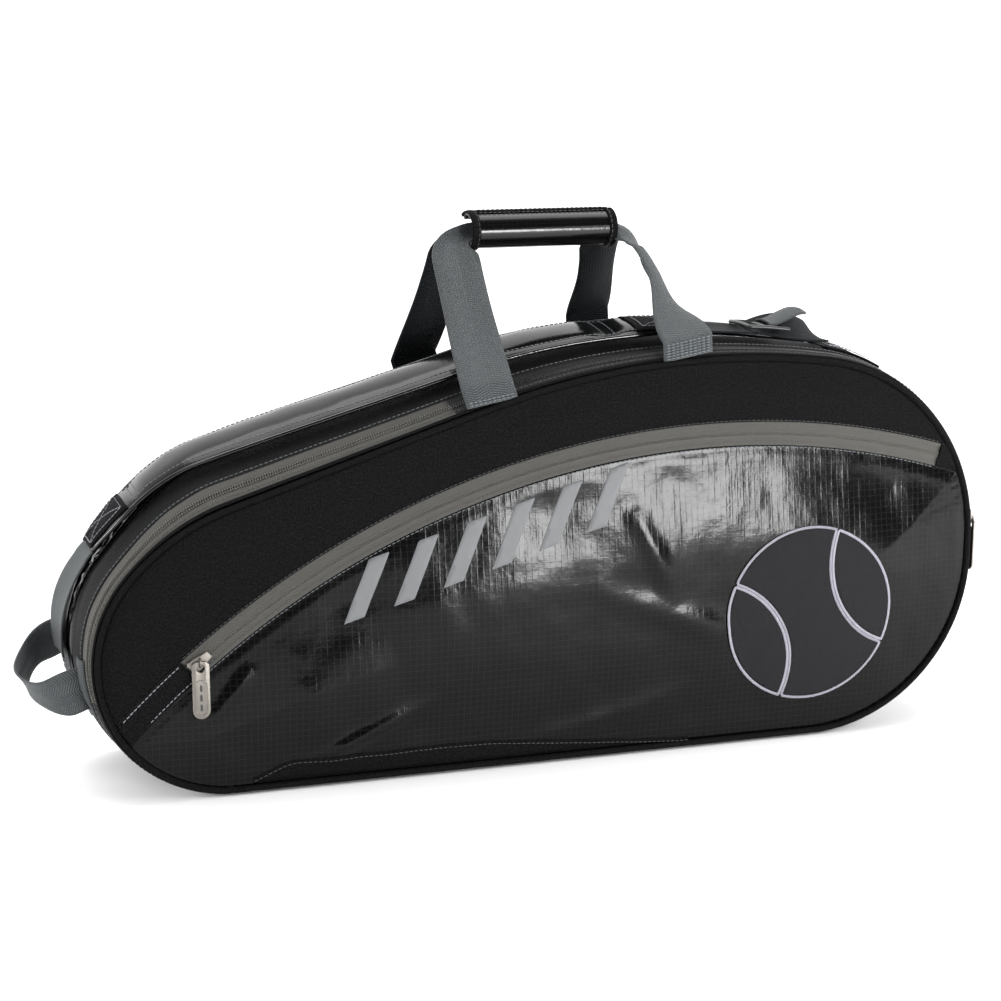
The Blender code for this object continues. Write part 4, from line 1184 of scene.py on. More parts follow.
def make_middle_gusset(node, first, last):
    places, rows = samples(first, last, 0.005), 25
    halves = [-gusset(FRONT, at, GUSSET_OUT).y for at in places]
    grid = [[middle(at, half * (1.0 - 2.0 * part), gusset_lift(part, at))
             for at, half in zip(places, halves)] for part in np.linspace(0.0, 1.0, rows)]
    cloth = sheet(node + "_cloth", grid, GLOSS, flip=True)
    swell(cloth, rim_pins(rows, len(places)), 0.15, 0.003, 14, shrink=-0.02)
    thicken(cloth, GUSSET_CLOTH)
    attach(cloth, "root", "vinyl", (node,))


SHOULDER_AT = 15


def make_gussets():
    for node, first, last in (("grip_end_gusset", BAND_FIRST, SHOULDER_AT),
                              ("top_gusset", SHOULDER_AT, HEAD_ARC_AT),
                              ("head_end_gusset", HEAD_ARC_AT, BAND_LAST)):
        make_middle_gusset(node, first, last)
    for number, at in enumerate((SHOULDER_AT, HEAD_ARC_AT)):
        half = -gusset(FRONT, at, GUSSET_OUT).y - 0.004
        for side in (FRONT, REAR):
            for row, shift in enumerate((-0.18, 0.18)):
                line = [middle(at + shift, side * half * k / 30, 0.0016) for k in range(31)]
                seam = stitches("gusset_seam_" + str(number) + str(row) + "_" + PREFIX[side], line,
                                outward(side, at), THREAD)
                attach(seam, "root", "vinyl")


for side in (FRONT, REAR):
    make_main_zip(side)
    make_bands(side)
make_gussets()


# Covers' plain sides, linings, divider and base

def make_rear_panel():
    columns, rows = 170, 60
    top = radial_edge(1.0, 37.0, columns)
    bottom = radial_edge(37.0, 1.0, columns)[::-1]
    cloth = skin("rear_panel_cloth", REAR, between(bottom, top, rows), panel_relief, OXFORD)
    swell(cloth, rim_pins(rows, columns), 0.2, 0.003, 12, shrink=-0.008)
    thicken(cloth, OXFORD_CLOTH)
    attach(cloth, "rear_cover", "oxford", ("rear_panel",))


QUILT = 0.056                      # the diamonds' diagonal on the padded boards


def board(name, outline, place, half, material, swollen, spacing=0.009):
    """A padded board: both faces bulge by swollen, and side faces close its rim.

    place(x, z, out) is the point at a distance out from the board's middle plane.
    """
    points, faces = filled(outline, spacing)
    rim = [Vector(p) for p in outline]
    heights = []
    for x, z in points:
        reach = min((Vector((x, z)) - p).length for p in rim)
        quilt = abs(math.sin(math.pi * (x + z) / QUILT) * math.sin(math.pi * (x - z) / QUILT))
        heights.append(half * 0.7 + swollen * smooth(reach / 0.02) * (0.3 + 0.7 * math.sqrt(quilt)))
    count, edge_count = len(points), len(outline)
    vertices = [place(x, z, sign * h) for sign in (1.0, -1.0)
                for (x, z), h in zip(points, heights)]
    all_faces = [tuple(f) for f in faces] + [tuple(count + i for i in reversed(f)) for f in faces]
    for k in range(edge_count):
        after = (k + 1) % edge_count
        all_faces.append((k, count + k, count + after, after))
    piece = new_piece(name, vertices, all_faces, material)
    turn_faces_out(piece.data)
    return piece


def outline_at(inset, step=0.014):
    """The panel's edge as a closed outline, moved inwards, with points along the base."""
    ring = [inset_edge(at, inset) for at in samples(0.0, LAST_AT, step)]
    last, first = ring[-1], ring[0]
    count = int((last[0] - first[0]) / step)
    return ring + [(last[0] + (first[0] - last[0]) * k / count, first[1]) for k in range(1, count)]


BOARD_DEPTH, DIVIDER_FOOT = 0.0782, 0.0056


def make_boards():
    """The padded lining of both covers and the divider, each with a bound rim."""
    for side in (FRONT, REAR):
        prefix = PREFIX[side]
        made = board(prefix + "_lining", outline_at(0.0062), lambda x, z, out, s=side:
                     bag(s, x, BOARD_DEPTH + out * 0.6, z), 0.0022, LINING, 0.0012)
        attach(made, prefix + "_cover", "lining", (prefix + "_lining_board",))
        ring = [bag(side, x, BOARD_DEPTH, z) for x, z in outline_at(0.0075, 0.008)]
        bound = tube(prefix + "_lining_binding", ring, BOARD_CORD, OXFORD, 8, closed=True)
        attach(bound, prefix + "_cover", "lining")
    crest = [middle(at, 0.0, -0.0055) for at in samples(0.0, LAST_AT, 0.014)]
    outline = [(p.x, max(p.z, DIVIDER_FOOT)) for p in crest]
    last, first = outline[-1], outline[0]
    outline += [(last[0] + (first[0] - last[0]) * k / 40, DIVIDER_FOOT) for k in range(1, 40)]
    divider = board("divider_pad", outline, lambda x, z, out: Vector((x, out, z)), 0.0024, LINING,
                    0.0020)
    attach(divider, "root", "lining", ("divider_panel",))
    inner = [(x, max(z, DIVIDER_FOOT + 0.0014)) for x, z in outline]
    ring = [Vector((x, 0.0, z)) for x, z in spread(inner + inner[:1], 300)[:-1]]
    attach(tube("divider_binding", ring, DIVIDER_CORD, OXFORD, 8, closed=True), "root", "lining")


BASE_THICK = 0.0040


def make_base():
    """The flat base: a stiffened cloth floor with a stitched seam along both sides."""
    first, last = edge(0.0)[0] + 0.0010, edge(LAST_AT)[0] - 0.0010
    rows = []
    for share in np.linspace(-1.0, 1.0, 31):
        row = []
        for x in np.linspace(first, last, 90):
            swollen = 0.0005 * ripple(x, share, 0.0, 0.06) * (1.0 - share * share)
            row.append((x, share * (0.0930 + SLOPE * x), BASE_THICK - 0.0003 + swollen))
        rows.append(row)
    cloth = sheet("base_cloth", rows, OXFORD, BASE_THICK - 0.0008, flip=True)
    attach(cloth, "root", "oxford", ("base_panel",))
    for side in (FRONT, REAR):
        line = [(x, side * (0.0860 + SLOPE * x), BASE_THICK - 0.0001)
                for x in np.linspace(first + 0.01, last - 0.01, 90)]
        row = stitches(PREFIX[side] + "_base_stitches", line, -DOWN, THREAD)
        attach(row, "root", "oxford")


# Sliders and pulls

def flat_solid(name, outlines, thickness, bevel, material, matrix):
    """A cut plate with rounded edges; its own z is its thickness."""
    curve = bpy.data.curves.new(name, "CURVE")
    curve.dimensions = "2D"
    curve.fill_mode = "BOTH"
    curve.extrude = 0.5 * thickness - bevel
    curve.bevel_depth = bevel
    curve.bevel_resolution = 2
    curve.offset = -bevel
    for outline in outlines:
        spline = curve.splines.new("POLY")
        spline.points.add(len(outline) - 1)
        for point, (x, y) in zip(spline.points, outline):
            point.co = (x, y, 0.0, 1.0)
        spline.use_cyclic_u = True
    source = add_object(name, curve)
    mesh = evaluated_mesh(source)
    bpy.data.objects.remove(source)
    turn_faces_out(mesh, merge=0.00001)
    mesh.transform(matrix)
    mesh.materials.clear()
    mesh.materials.append(material)
    mesh.shade_smooth()
    mesh.set_sharp_from_angle(angle=math.radians(35.0))
    return add_object(name, mesh)


def frame_of(place, along, out):
    """A matrix with x along, z out and its origin at place."""
    along, out = along.normalized(), out.normalized()
    across = out.cross(along).normalized()
    turn = Matrix((along, across, along.cross(across))).transposed()
    return Matrix.Translation(place) @ turn.to_4x4()


def capsule_outline(length, width, count=9):
    """A long shape with round ends, about its middle."""
    half, reach = 0.5 * width, 0.5 * length
    return [(sign * (reach - half + half * math.cos(t)), sign * half * math.sin(t))
            for sign in (-1.0, 1.0) for t in np.linspace(-0.5 * math.pi, 0.5 * math.pi, count)]


def raised(matrix, x=0.0, z=0.0):
    return matrix @ Matrix.Translation((x, 0.0, z))


SLIDER_SIDE = ((-0.0100, 0.0030), (-0.0040, 0.0040), (0.0020, 0.0054), (0.0085, 0.0054),
               (0.0100, 0.0040))
SLIDER_NOTCH = (0.0084, 0.0)
LOOP_REACH, LOOP_RISE, LOOP_WIRE = 0.0034, 0.0051, 0.0008


def make_slider(node, place, along, out, loop_along):
    """A zip slider: two plates, a neck and a wire loop that stands along loop_along."""
    matrix = frame_of(place, along, out)
    shape = [(x, -y) for x, y in SLIDER_SIDE] + [SLIDER_NOTCH, *SLIDER_SIDE[::-1]]
    metal = [flat_solid(node + "_lower", [shape], 0.0009, 0.0003, METAL, raised(matrix, z=0.0006)),
             flat_solid(node + "_upper", [shape], 0.0012, 0.0004, METAL, raised(matrix, z=0.0025)),
             flat_solid(node + "_neck", [capsule_outline(0.005, 0.0028)], 0.0024, 0.0003, METAL,
                        raised(matrix, 0.0070, 0.0015))]
    up, front = loop_along.normalized(), out.normalized()
    path = [place + up * (LOOP_REACH * math.cos(t))
            + front * (0.0026 + LOOP_RISE * math.sin(t) ** 0.7)
            for t in np.linspace(0.0, math.pi, 15)]
    return join(node + "_metal", metal + [tube(node + "_loop", path, LOOP_WIRE, METAL)])


PULL_LENGTH, PULL_WIDTH = 0.0460, 0.0140


def make_pull(node, pivot, down, out):
    """A flat pull with an eye, a raised rim and three black marks set in as painted shade for plain
    grooves.
    """
    matrix = frame_of(pivot, down, out)
    half, top = 0.5 * PULL_WIDTH, -0.0011
    low = PULL_LENGTH - half
    outline = [(top, -0.62 * half), (0.0016, -half), (low, -half)]
    outline += [(low + half * math.sin(t), -half * math.cos(t))
                for t in np.linspace(0, math.pi, 17)[1:-1]]
    outline += [(low, half), (0.0016, half), (top, 0.62 * half)]
    eye = [(0.0045 + 0.0031 * math.cos(t), 0.0034 * math.sin(t))
           for t in np.linspace(0.0, 2.0 * math.pi, 21)[:-1]]
    plate = flat_solid(node + "_plate", [outline, eye], 0.0014, 0.0003, METAL, matrix)
    rim_path = [matrix @ Vector((x + 0.0285, y, 0.0007))
                for x, y in capsule_outline(0.0290, 0.0096, 13)]
    rim = tube(node + "_rim", rim_path, 0.00045, METAL, 8, closed=True)
    # Black plastic marks set into the plate: painted shade standing for its three grooves.
    painted_groove_shades = [flat_solid(node + "_painted_groove_shade", [capsule_outline(0.0055, 0.0019)], 0.0005, 0.0001, PLASTIC,
                        raised(matrix, 0.0205 + 0.008 * k, 0.0007)) for k in range(3)]
    return join(node + "_metal", [plate, rim] + painted_groove_shades)


PIVOT_RISE = 0.0050                # from a slider's foot to its pull's pivot


def make_sliders():
    pivot, _ = hinge("pocket_pull_swing")
    centre, _ = hinge("pocket_slider_travel")
    place = pivot + INTO_BAG * PIVOT_RISE
    along = (place - centre).cross(INTO_BAG)
    attach(make_slider("pocket_slider", place, along, -INTO_BAG, -DOWN), "pocket_slider", "metal",
           ("pocket_slider",))
    attach(make_pull("pocket_pull", pivot, DOWN, -INTO_BAG), "pocket_pull", "metal",
           ("pocket_pull",))
    for side in (FRONT, REAR):
        pivot, axis = hinge(PREFIX[side] + "_zip_pull_swing")
        centre, _ = hinge(PREFIX[side] + "_zip_slider_travel")
        out = (pivot - centre) - axis * (pivot - centre).dot(axis)
        out.normalize()
        along = axis.cross(out)
        node = PREFIX[side] + "_zip_slider"
        attach(make_slider(node, pivot - out * PIVOT_RISE, along, out, along), node, "metal",
               (node,))
        node = PREFIX[side] + "_zip_pull"
        face = axis.cross(DOWN)
        attach(make_pull(node, pivot, DOWN, face if face.dot(out) > 0.0 else -face), node, "metal",
               (node,))


# Webbing

def ribbon(name, centres, widths, acrosses, cups, material, thickness=0.0017, columns=11):
    """Webbing along centres; cups is how far its middle arches away from its edges."""
    centres = [Vector(c) for c in centres]
    widths, acrosses, cups = (each(value, len(centres)) for value in (widths, acrosses, cups))
    rows = []
    for share in np.linspace(-1.0, 1.0, columns):
        row = []
        for k, centre in enumerate(centres):
            along = centres[min(k + 1, len(centres) - 1)] - centres[max(k - 1, 0)]
            across = acrosses[k].normalized()
            normal = along.cross(across).normalized()
            edge_round = 1.0 if abs(share) < 0.999 else 0.985
            row.append(centre + across * (0.5 * widths[k] * share * edge_round)
                       + normal * (cups[k] * (1.0 - share * share)))
        rows.append(row)
    return sheet(name, rows, material, thickness, 0.0)


WEB_WIDTH, WEB_THICK = 0.044, 0.0017
HANDLE_FEET_X = (-0.060, 0.108)
HANDLE_DEPTH, HINGE_RISE = 0.0975, 0.0165
GRIP_Z, GRIP_X = 0.4385, {FRONT: (-0.066, 0.090), REAR: (-0.050, 0.082)}
GRIP = {FRONT: (0.0085, 0.017), REAR: (0.0135, 0.013)}     # distance from the middle, width
LEG_TWIST = {FRONT: (0.14, -1.05), REAR: (0.10, 0.22)}     # left leg, right leg
LEG_TUCK = {FRONT: (0.004, 0.021), REAR: (0.003, 0.006)}
CORNER_REACH = 0.026


def handle_foot(side, x, rise):
    at = station_at(x=x)
    place, z, angle, _ = edge(at)
    turn = math.radians(angle)
    return bag(side, place + rise * math.cos(turn), HANDLE_DEPTH, z + rise * math.sin(turn))


def handle_leg(side, k, fold):
    """From a sewn foot up one leg and round its corner to the grip."""
    grip_y, narrow = GRIP[side]
    twist, inwards = LEG_TWIST[side][k] * side, (1.0, -1.0)[k]
    foot, seam = (handle_foot(side, HANDLE_FEET_X[k], rise) for rise in (HINGE_RISE, 0.0006))
    corner = Vector((GRIP_X[side][k], side * grip_y, GRIP_Z))
    up = (corner - foot).normalized()
    bend, end = corner - up * CORNER_REACH, corner + Vector((inwards * CORNER_REACH, 0.0, 0.0))
    normal = up.cross(Vector((1.0, 0.0, 0.0))).normalized()
    route = [(seam.lerp(foot, part), WEB_WIDTH, fold, 0.0) for part in np.linspace(0, 1, 6)[:-1]]
    for part in np.linspace(0.0, 1.0, 22)[:-1]:
        arch = math.sin(math.pi * part)
        pinch = smooth((part - 0.04) / 0.70) * (1.0 - 0.15 * smooth((part - 0.85) / 0.15))
        tuck = LEG_TUCK[side][k] * pinch
        across = Matrix.Rotation(twist * pinch, 3, up) @ fold.lerp(normal.cross(up), part)
        route.append((foot.lerp(bend, part) - normal * (0.0022 * side * arch), WEB_WIDTH - tuck,
                      across, 0.35 * tuck + 0.0012 * arch))
    full = route[-1][1]
    for part in np.linspace(0.0, 1.0, 14):
        here = bend.lerp(corner, part).lerp(corner.lerp(end, part), part)
        tangent = up.lerp(Vector((inwards, 0.0, 0.0)), part).normalized()
        turn = Matrix.Rotation(twist * 0.65 * (1.0 - smooth(part / 0.5)), 3, tangent)
        folded = smooth(1.35 * part)
        route.append((here, full * (1.0 - folded) + narrow * folded, turn @ normal.cross(tangent),
                      0.0020 + 0.0030 * smooth(part)))
    return route


def handle_route(side):
    """Centres, widths, width directions and cups of one handle's webbing, foot to foot."""
    left, right = (handle_foot(side, x, HINGE_RISE) for x in HANDLE_FEET_X)
    fold = (right - left).normalized()
    route = handle_leg(side, 0, fold) + handle_leg(side, 1, fold)[::-1]
    kept = [route[0]]
    for item in route[1:]:
        before = kept[-1]
        step = item[0] - before[0]
        same = item[2].cross(step).dot(before[2].cross(step)) >= 0.0
        kept.append(item if same else (item[0], item[1], -item[2], -item[3]))
    return kept


def make_handle(side):
    """One handle's webbing and the stitches in its feet."""
    prefix = PREFIX[side]
    centres, widths, acrosses, cups = (list(column) for column in zip(*handle_route(side)))
    # The rear handle takes the darker webbing copy: painted shade on the same webbing as the front
    # handle.
    strap = ribbon(prefix + "_handle_webbing", centres, widths, acrosses, cups,
                   WEBBING if side == FRONT else DARK_AND_SHADED_WEBBING)
    attach(strap, handle_fold(side), "webbing",
           (prefix + "_handle_strap", prefix + "_handle_tab_left", prefix + "_handle_tab_right"))
    left, right = (handle_foot(side, x, HINGE_RISE) for x in HANDLE_FEET_X)
    fold = (right - left).normalized()
    out = SIDE[side].to_3x3() @ Vector((0.0, side, 0.0))
    for label, foot_x, count in (("left", HANDLE_FEET_X[0], 2), ("right", HANDLE_FEET_X[1], 6)):
        rows = []
        for step in range(count):
            base = handle_foot(side, foot_x, 0.0026 + 0.0023 * step) + out * 0.0011
            line = [base + fold * (0.0195 * share) for share in np.linspace(-1.0, 1.0, 21)]
            rows.append(stitches("row", line, out, GREY_THREAD, 0.0036, HEAVY_STITCH))
        attach(join(prefix + "_handle_foot_stitches_" + label, rows), prefix + "_cover", "webbing")


WRAP_X = (-0.050, 0.080)
WRAP_Y, WRAP_RY, WRAP_RZ, WRAP_WALL = -0.0060, 0.0165, 0.0155, 0.0030
WRAP_MOUTH = math.radians(50.0)


def wrap_point(x, turn, out=0.0):
    """On the wrap's outside at a turn about its axis, from the back over the top."""
    return Vector((x, WRAP_Y + (WRAP_RY + out) * math.cos(turn),
                   GRIP_Z + (WRAP_RZ + out) * math.sin(turn)))


def wrap_seam(xs, turns, lift):
    """A row of stitches on the wrap, along it at one turn or round it at one x."""
    line = [wrap_point(x, turn, lift) for x in xs for turn in turns]
    outs = [wrap_point(0.0, turn, 1.0) - wrap_point(0.0, turn) for _ in xs for turn in turns]
    return stitches("row", line, outs, THREAD)


def make_wrap():
    """The padded sleeve, open to the back, with its edges bound and one seam along the top."""
    first, last = WRAP_MOUTH, 2.0 * math.pi - WRAP_MOUTH
    turns = np.linspace(first, last, 34)
    xs = np.linspace(WRAP_X[0] + 0.001, WRAP_X[1] - 0.001, 40)
    ring = [(turn, 0.0) for turn in turns] + [(turn, -WRAP_WALL) for turn in turns[::-1]]
    count, around = len(xs), len(ring)
    faces = [(r * count + c, r * count + c + 1, (r + 1) % around * count + c + 1,
              (r + 1) % around * count + c) for r in range(around) for c in range(count - 1)]
    for c in (0, count - 1):
        for r in range(len(turns) - 1):
            mate = around - 1 - r
            quad = (r * count + c, (r + 1) * count + c, (mate - 1) * count + c, mate * count + c)
            faces.append(quad if c else quad[::-1])
    vertices = [wrap_point(x, turn, out - 0.0006) for turn, out in ring for x in xs]
    uvs = [(x, 0.016 * turn) for turn, _ in ring for x in xs]
    sleeve = new_piece("handle_sleeve", vertices, faces, SLEEVE, uvs)
    pins = [float(out < 0.0 or min(turn - first, last - turn) < 0.1
                  or min(x - xs[0], xs[-1] - x) < 0.004) for turn, out in ring for x in xs]
    swell(sleeve, pins, 2.5, 0.0016, 16)
    attach(sleeve, "front_handle", "sleeve", ("handle_wrap",))
    round_turns, top = np.linspace(first, last, 40), math.radians(93.0)
    ends = tuple(zip(WRAP_X, (1.0, -1.0)))
    bindings = []
    for x, inwards in ends:
        line = [wrap_point(x + inwards * 0.0030, turn) for turn in round_turns]
        bindings.append(ribbon("binding", line, 0.0070, Vector((1.0, 0.0, 0.0)), 0.0007 * inwards,
                               OXFORD, 0.0022, 5))
    for turn in (first + 0.06, top, last - 0.06):
        line = [wrap_point(x, turn, 0.0004)
                for x in np.linspace(WRAP_X[0] + 0.002, WRAP_X[1] - 0.002, 40)]
        around = (wrap_point(0.0, turn + 0.1) - wrap_point(0.0, turn - 0.1)).normalized()
        bindings.append(ribbon("binding", line, 0.0068, around, 0.0006, OXFORD, 0.0018, 5))
    attach(join("handle_sleeve_bindings", bindings), "front_handle", "sleeve")
    inner_xs = np.linspace(WRAP_X[0] + 0.008, WRAP_X[1] - 0.008, 40)
    rows = [wrap_seam(inner_xs, (turn,), lift)
            for turn, lift in ((top, 0.0017), (math.radians(112.0), 0.0008))]
    rows += [wrap_seam((x + inwards * 0.0052,), round_turns, 0.0014) for x, inwards in ends]
    attach(join("handle_sleeve_stitches", rows), "front_handle", "sleeve")


HAUL_Z, HAUL_Y, HAUL_TAB_Y = 0.103, 0.046, 0.0465
HAUL_X = (-0.3930, -0.4300)


def make_haul_loop():
    """The grab loop: webbing on edge, sewn to the gusset at both ends."""
    outer = HAUL_X[0] - HAUL_X[1] + 0.0080
    centres, widths, acrosses = [], [], []
    for turn in np.linspace(0.0, math.pi, 61):
        reach = math.sin(turn) ** 0.6
        x = HAUL_X[0] + 0.0080 - outer * reach * (0.97 + 0.03 * math.cos(4.0 * turn))
        sag = -0.014 * reach - 0.0105 * math.cos(turn)
        centres.append(Vector((x, -HAUL_Y * math.cos(turn), HAUL_Z + sag)))
        widths.append(0.036 - 0.014 * smooth((reach - 0.3) / 0.7))
        acrosses.append(Vector((-0.55 * reach, 0.30 * math.cos(turn), 1.0)))
    loop = ribbon("haul_loop_webbing", centres, widths, acrosses, 0.0012, WEBBING)
    place, _ = hinge("haul_loop_swing")
    start, end = (place + Vector((x, 0.0, 0.0)) for x in (0.004, -0.008))
    attach(loop, ("root", "haul_loop", start, end), "webbing", ("haul_loop",))
    at = station_at(z=HAUL_Z - 0.010)
    shares = np.linspace(-1.0, 1.0, 9)
    for side in (FRONT, REAR):
        prefix = PREFIX[side]
        rows = [[middle(at + step, side * (HAUL_TAB_Y + 0.0085 * share),
                        0.0012 + 0.0022 * (1.0 - share ** 2))
                 for step in np.linspace(-1.15, 1.15, 30)] for share in shares]
        tab = sheet(prefix + "_haul_tab_webbing", rows, WEBBING, 0.0020, 0.0, flip=side > 0)
        attach(tab, "root", "webbing", ("haul_tab_" + prefix,))
        lines = []
        for step in (-1.05, -0.95, 0.95, 1.05):
            line = [middle(at + step, side * (HAUL_TAB_Y + 0.0078 * share),
                           0.0042 - 0.0022 * share ** 2) for share in shares]
            lines.append(stitches("row", line, outward(side, at + step), GREY_THREAD, 0.0034))
        attach(join(prefix + "_haul_tab_stitches", lines), "root", "webbing")


# Shoulder strap

STRAP_FIRST, PAD_FIRST, PAD_LAST, STRAP_LAST = 8.9, 13.0, 25.1, 27.3
ANCHOR_FIRST, ANCHOR_LAST, LOCK_AT = 7.8, 29.4, 26.1
STRAP_Y = (0.016, -0.066)
PAD_WIDTH, PAD_THICK, STRAP_WIDTH = 0.050, 0.0100, 0.038
STRAP_LIFT, STRAP_SLACK, WEB_RISE = 0.0042, 0.0050, 0.0030


def strap_part(at):
    return min(1.0, max(0.0, (at - STRAP_FIRST) / (STRAP_LAST - STRAP_FIRST)))


def strap_y(at):
    return STRAP_Y[0] + (STRAP_Y[1] - STRAP_Y[0]) * strap_part(at)


def strap_place(at, share, width, lift):
    """A point on the strap: share runs from -1 at its front edge to 1 at its rear edge."""
    rise = lift + STRAP_SLACK * math.sin(math.pi * strap_part(at))
    return middle(at, strap_y(at) + 0.5 * width * share, rise)


def strap_frame(at, width, lift):
    """Centre, along, across and out of the strap at a station."""
    along = strap_place(at + 0.1, 0.0, width, lift) - strap_place(at - 0.1, 0.0, width, lift)
    across = strap_place(at, 0.9, width, lift) - strap_place(at, -0.9, width, lift)
    along, across = along.normalized(), across.normalized()
    return strap_place(at, 0.0, width, lift), along, across, along.cross(across).normalized()


def strap_out(at, width):
    return strap_frame(at, width, 0.0)[3]


def pad_width(at):
    """The pad tapers at both ends."""
    return PAD_WIDTH * (0.80 + 0.20 * smooth((at - PAD_FIRST) / 1.2)) * (
        0.76 + 0.24 * smooth((PAD_LAST - at) / 1.6))


def pad_top(at, share):
    return strap_place(at, share, pad_width(at), STRAP_LIFT + PAD_THICK)


def make_pad_body(places, cross_seams, ring=28):
    """The padded part: a flattened tube, pinched where it's sewn across."""
    middle_lift = STRAP_LIFT + 0.5 * PAD_THICK
    vertices, uvs, pins = [], [], []
    run, before = 0.0, None
    for at in places:
        width = pad_width(at)
        centre, _, _, out = strap_frame(at, width, middle_lift)
        run += (centre - before).length if before else 0.0
        before = centre
        seam = min(abs(at - s) for s in (*cross_seams, PAD_FIRST, PAD_LAST))
        flat = 0.35 + 0.65 * smooth(seam / 0.35)
        for j in range(ring):
            turn = 2.0 * math.pi * j / ring
            side_part, up_part = math.cos(turn), math.sin(turn)
            share = math.copysign(abs(side_part) ** 0.7, side_part)
            rise = math.copysign(abs(up_part) ** 0.8, up_part) * 0.5 * (PAD_THICK - 0.0022) * flat
            crumple = 0.0006 * ripple(2.2 * at, 3.0 * share, up_part, 1.0)
            vertices.append(strap_place(at, share, width, middle_lift) + out * (rise + crumple))
            uvs.append((run, share * 0.025 + (0.06 if up_part < 0.0 else 0.0)))
            pins.append(float(abs(side_part) > 0.96 or seam < 0.03 or up_part < -0.1))
    count = len(places)
    faces = grid_faces(count, ring, closed=True)[:, ::-1].tolist() + end_caps(count, ring)
    pad = new_piece("shoulder_pad_sleeve", vertices, faces, SLEEVE, uvs)
    turn_faces_out(pad.data)
    swell(pad, pins, 1.1, 0.0013, 16)
    return attach(pad, "shoulder_strap", "sleeve", ("shoulder_strap_pad",))


def make_pad():
    """The padded strap, with corded edges, seams across it and a stitched patch on each end."""
    places = samples(PAD_FIRST, PAD_LAST, 0.0055)
    cross_seams = (PAD_FIRST + 1.9, PAD_LAST - 1.7)
    surface = surface_of(make_pad_body(places, cross_seams))
    outs = [strap_out(at, PAD_WIDTH) for at in places]
    cords, rows = [], []
    for share in (-1.0, 1.0):
        line = [strap_place(at, share * 0.985, pad_width(at), STRAP_LIFT + 0.5 * PAD_THICK)
                for at in places]
        cords.append(tube("cord", line, PAD_CORD, GLOSS, 8))
        near = [pad_top(at, share * 0.80) for at in places]
        rows.append(stitches("row", *laid_on(surface, near, outs, 0.0002), GREY_THREAD))
    attach(join("shoulder_pad_cords", cords), "shoulder_strap", "sleeve")
    for here in (at + shift for at in cross_seams for shift in (-0.09, 0.09)):
        line = [pad_top(here, share) for share in np.linspace(-0.80, 0.80, 12)]
        outs = each(strap_out(here, PAD_WIDTH), 12)
        rows.append(stitches("row", *laid_on(surface, line, outs, 0.0002), GREY_THREAD))
    attach(join("shoulder_pad_stitches", rows), "shoulder_strap", "sleeve")
    for label, first, last in (("left", PAD_FIRST + 0.03, PAD_FIRST + 1.55),
                               ("right", PAD_LAST - 1.25, PAD_LAST - 0.03)):
        places = np.linspace(first, last, 22)
        outs = [strap_out(at, PAD_WIDTH) for at in places]
        strips = [laid_on(surface, [pad_top(at, share) for at in places], outs, 0.0010)[0]
                  for share in np.linspace(-0.93, 0.93, 15)]
        cover = sheet("shoulder_pad_end_" + label, strips, OXFORD, 0.0010, 0.0)
        attach(cover, "shoulder_strap", "sleeve")
        box = box_of_stitches(first + 0.12, last - 0.12, 0.74, STRAP_LIFT + PAD_THICK, pad_width,
                              PALE_THREAD, surface, 0.0018)
        attach(join("shoulder_pad_end_stitches_" + label, box), "shoulder_strap", "sleeve")


def box_of_stitches(first, last, share, lift, width_at, thread, surface=None, above=0.0):
    """A stitched box with a cross in it, laid a distance above a surface if there is one."""
    corners = ((first, -share), (last, -share), (last, share), (first, share), (first, -share),
               (last, share), (last, -share), (first, share))
    rows = []
    for (at_a, share_a), (at_b, share_b) in zip(corners, corners[1:]):
        line, outs = [], []
        for part in np.linspace(0.0, 1.0, 12):
            at = at_a + (at_b - at_a) * part
            line.append(strap_place(at, share_a + (share_b - share_a) * part, width_at(at), lift))
            outs.append(strap_out(at, 0.03))
        if surface:
            line, outs = laid_on(surface, line, outs, above)
        rows.append(stitches("row", line, outs, thread, 0.0038))
    return rows


def strap_webbing(name, first, last, lift, body, nodes=(), twist=0.0, rise=0.0,
                  material=WEBBING):
    """Flat webbing along the strap's line, lifted and twisted most at its middle."""
    centres, acrosses = [], []
    for at in samples(first, last, 0.004):
        wave = math.sin(math.pi * (at - first) / (last - first))
        centre, along, across, out = strap_frame(at, STRAP_WIDTH, lift + 0.5 * WEB_THICK)
        centres.append(centre + out * (rise * wave))
        acrosses.append(Matrix.Rotation(twist * wave, 3, along) @ across)
    piece = ribbon(name, centres, STRAP_WIDTH, acrosses, -0.0015, material, WEB_THICK)
    attach(piece, body, "webbing", nodes)


def make_strap():
    make_pad()
    lift = STRAP_LIFT + WEB_RISE
    strap_webbing("strap_left_webbing", STRAP_FIRST - 0.1, PAD_FIRST + 0.25, lift,
                  "shoulder_strap", ("strap_webbing_left",), 0.10, 0.002)
    strap_webbing("strap_right_webbing", PAD_LAST - 0.25, LOCK_AT + 0.2, lift,
                  "shoulder_strap", ("strap_webbing_right",), material=DARK_AND_SHADED_WEBBING)
    strap_webbing("strap_right_loop", LOCK_AT - 0.2, STRAP_LAST + 0.05, lift + 0.001,
                  "shoulder_strap", (), 0.45, 0.0050, DARK_AND_SHADED_WEBBING)
    for label, first, last, cloth, thread in (
            ("left", ANCHOR_FIRST, STRAP_FIRST, WEBBING, GREY_THREAD),
            ("right", STRAP_LAST, ANCHOR_LAST, OXFORD, PALE_THREAD)):
        node = "strap_anchor_" + label
        strap_webbing(node + "_webbing", first, last, 0.0024, "root", (node,), material=cloth)
        rows = box_of_stitches(first + 0.15, last - 0.35, 0.75, 0.0052, lambda at: STRAP_WIDTH,
                               thread)
        attach(join(node + "_stitches", rows), "root", "webbing")


LOCK_HALF_WIDTH, LOCK_HALF_LENGTH = 0.0215, 0.0178


